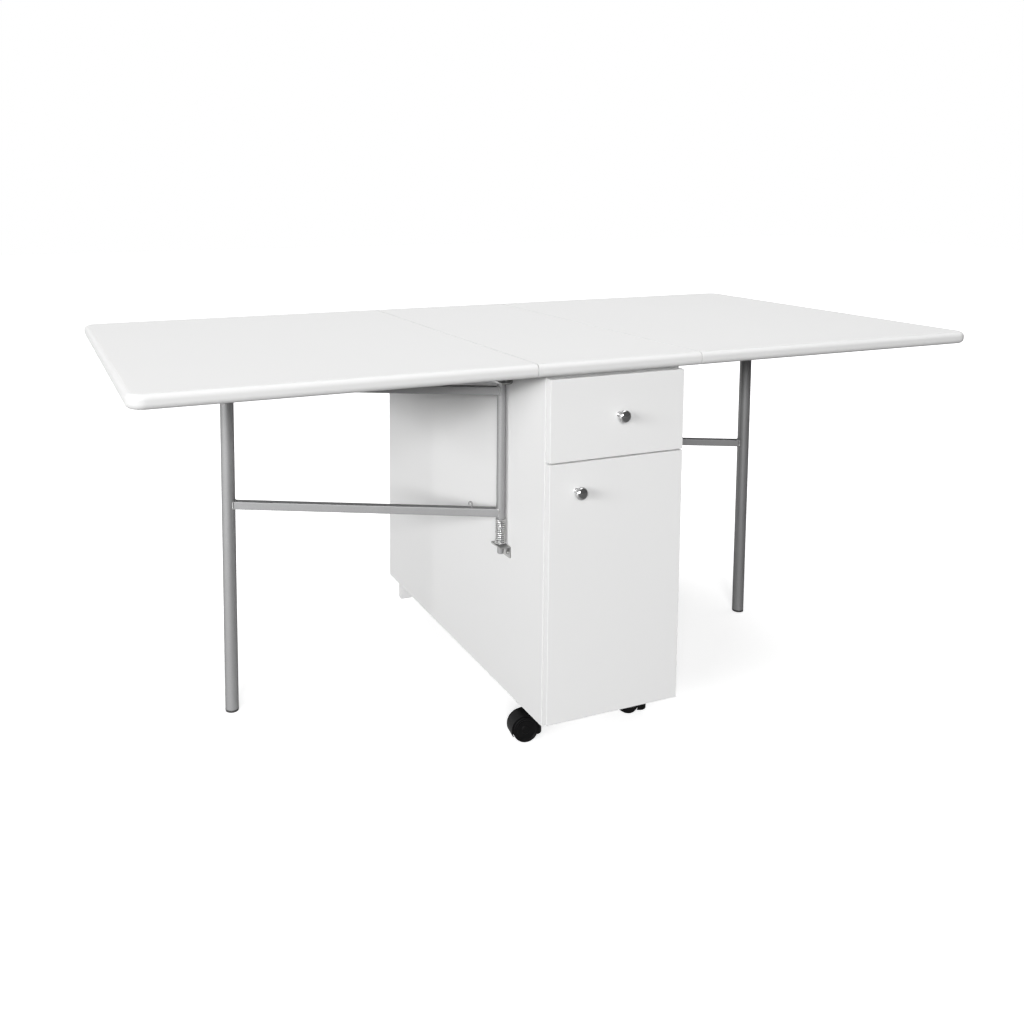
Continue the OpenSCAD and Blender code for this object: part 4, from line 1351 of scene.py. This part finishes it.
@dataclass
class Studio:
    """Floor, world, lamps and the camera that stands where the photograph's stood."""

    camera_at: tuple[float, float, float] = (-1.03629, -1.93532, 1.06497)
    yaw: float = 22.01925
    pitch: float = -5.53824
    roll: float = -0.00219
    focal_px: float = 1005.24146
    image_px: float = 1024.0
    centre_px: tuple[float, float] = (408.90496, 281.04695)
    sensor: float = 36.0
    clip: tuple[float, float] = (0.05, 60.0)
    sky: float = 0.12
    floor_half: float = 14.0
    floor_grey: float = 0.82
    bounce: float = 0.14
    glow: tuple[float, float] = (0.66, 1.0)
    glow_span: tuple[float, float] = (1.2, 4.5)
    dim_side: tuple[float, float, float] = (0.6, -0.8, 0.0)
    dimness: float = 0.96
    dim_sky_span: tuple[float, float] = (-0.2, 0.5)
    dim_floor_span: tuple[float, float] = (-0.5, 0.7)
    lamp_aim: float = 0.6
    lamp_reach: float = 12.0
    lamps: tuple[Lamp, ...] = (
        Lamp("key", 60.0, 17.0, (3.6, 2.2), 950.0),
        Lamp("window", 27.0, 13.0, (6.0, 1.7), 780.0),
        Lamp("top", 200.0, 80.0, (8.0, 8.0), 885.0),
    )

    def camera(self) -> None:
        """Place the camera at the photograph's viewpoint."""
        yaw, pitch, roll = (math.radians(value) for value in (self.yaw, self.pitch, self.roll))
        near = math.cos(pitch)
        ahead = Vector((math.sin(yaw) * near, math.cos(yaw) * near, math.sin(pitch)))
        level = Vector((math.cos(yaw), -math.sin(yaw), 0.0))
        upward = level.cross(ahead)
        right = level * math.cos(roll) + upward * math.sin(roll)
        above = upward * math.cos(roll) - level * math.sin(roll)
        data = bpy.data.cameras.new("camera")
        data.sensor_width = self.sensor
        data.lens = self.focal_px / self.image_px * self.sensor
        data.shift_x = (self.image_px / 2 - self.centre_px[0]) / self.image_px
        data.shift_y = (self.centre_px[1] - self.image_px / 2) / self.image_px
        data.clip_start, data.clip_end = self.clip
        made = bpy.data.objects.new("camera", data)
        turn = Matrix((right, above, -ahead)).transposed().to_4x4()
        made.matrix_world = Matrix.Translation(Vector(self.camera_at)) @ turn
        bpy.context.scene.collection.objects.link(made)
        bpy.context.scene.camera = made

    def white_share(
        self, wire: Wiring, spot: bpy.types.NodeSocket, span: tuple[float, float]
    ) -> bpy.types.NodeSocket:
        """Return how much of the studio's white a ray sees.

        Args:
            wire: The material's or world's wiring.
            spot: A direction or a place.
            span: Where the room's dim open side starts and where it is full, along dim_side.

        Returns:
            1 for what is seen directly, and less where gloss looks towards the room's open side.
        """
        along = wire.node("ShaderNodeVectorMath", operation="DOT_PRODUCT")
        wire.join(spot, along.inputs[0])
        along.inputs[1].default_value = self.dim_side
        open_share = wire.ramp(along.outputs["Value"], *span)
        gloss = wire.math("SUBTRACT", 1.0, wire.math("MULTIPLY", open_share, self.dimness))
        rays = wire.node("ShaderNodeLightPath").outputs
        glossy = wire.math("MULTIPLY", rays["Is Glossy Ray"], gloss)
        through = wire.math("MAXIMUM", glossy, rays["Is Transmission Ray"])
        return wire.math("MAXIMUM", rays["Is Camera Ray"], through)

    def world(self) -> None:
        """Make a white world that lights the table softly."""
        world = bpy.data.worlds.new("studio")
        world.use_nodes = True
        bpy.context.scene.world = world
        wire = Wiring(world.node_tree)
        sky = world.node_tree.nodes["Background"]
        out = world.node_tree.nodes["World Output"]
        seen = wire.node("ShaderNodeBackground")
        for ground, strength in ((sky, self.sky), (seen, 1.0)):
            ground.inputs["Color"].default_value = WHITE
            ground.inputs["Strength"].default_value = strength
        way = wire.node("ShaderNodeTexCoord").outputs["Generated"]
        blend = wire.node("ShaderNodeMixShader")
        wire.join(self.white_share(wire, way, self.dim_sky_span), blend.inputs[0])
        wire.join(sky.outputs[0], blend.inputs[1])
        wire.join(seen.outputs[0], blend.inputs[2])
        wire.join(blend.outputs[0], out.inputs["Surface"])

    def floor(self) -> None:
        """Lay a white floor that keeps only a soft shadow."""
        bm = bmesh.new()
        bmesh.ops.create_grid(bm, x_segments=1, y_segments=1, size=self.floor_half)
        mesh = bpy.data.meshes.new("floor")
        bm.to_mesh(mesh)
        bm.free()
        mesh.materials.append(self.floor_paint())
        floor = bpy.data.objects.new("floor", mesh)
        bpy.context.scene.collection.objects.link(floor)

    def floor_paint(self) -> bpy.types.Material:
        """Return the floor's paint: white where it is seen, dim where it only throws light back."""
        made = bpy.data.materials.new("studio_floor")
        made.use_nodes = True
        wire = Wiring(made.node_tree)
        pale = made.node_tree.nodes["Principled BSDF"]
        dim = wire.node("ShaderNodeBsdfDiffuse")
        dim.inputs["Color"].default_value = (*[self.bounce] * 3, 1.0)
        pale.inputs["Base Color"].default_value = (*[self.floor_grey] * 3, 1.0)
        pale.inputs["Roughness"].default_value = 0.9
        pale.inputs["Specular IOR Level"].default_value = 0.1
        glow = wire.node("ShaderNodeEmission")
        span = wire.node("ShaderNodeVectorMath", operation="LENGTH")
        spot = wire.node("ShaderNodeTexCoord").outputs["Object"]
        wire.join(spot, span.inputs[0])
        near, far = self.glow
        far_share = wire.ramp(span.outputs["Value"], *self.glow_span)
        strength = wire.math("ADD", wire.math("MULTIPLY", far_share, far - near), near)
        wire.join(strength, glow.inputs["Strength"])
        total = wire.node("ShaderNodeAddShader")
        wire.join(pale.outputs[0], total.inputs[0])
        wire.join(glow.outputs[0], total.inputs[1])
        blend = wire.node("ShaderNodeMixShader")
        wire.join(self.white_share(wire, spot, self.dim_floor_span), blend.inputs[0])
        wire.join(dim.outputs[0], blend.inputs[1])
        wire.join(total.outputs[0], blend.inputs[2])
        wire.join(blend.outputs[0], made.node_tree.nodes["Material Output"].inputs["Surface"])
        return made

    def build(self) -> None:
        """Set up the whole studio."""
        self.camera()
        self.world()
        self.floor()
        for lamp in self.lamps:
            lamp.hang(self.lamp_aim, self.lamp_reach)
        bpy.context.scene.view_settings.view_transform = "Standard"


def main() -> None:
    """Load the frame, dress the table and set up the studio."""
    logging.basicConfig(level=logging.INFO, format="%(name)s: %(message)s")
    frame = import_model()
    shop = Shop(frame["nodes"])
    screws = Screws()
    boards = Boards(shop)
    knob = Knob(shop)
    joints = {joint["name"]: joint for joint in frame["joints"]}
    TableTop(shop, screws, joints["right_leaf_lift"]["pos_m"][0]).build()
    Cabinet(shop, boards, screws).build()
    Drawer(shop, boards, knob).build()
    Door(shop, boards, knob, screws, Vector(joints["door_swing"]["pos_m"])).build()
    for side in Side:
        Gate(shop, side).build()
        Pivot(shop, side).build()
        Caster(shop, side, joints).build()
    BracketScrews(shop, screws).build()
    CasterPlates(shop, screws, joints).build()
    Studio().build()


if __name__ == "__main__":
    main()
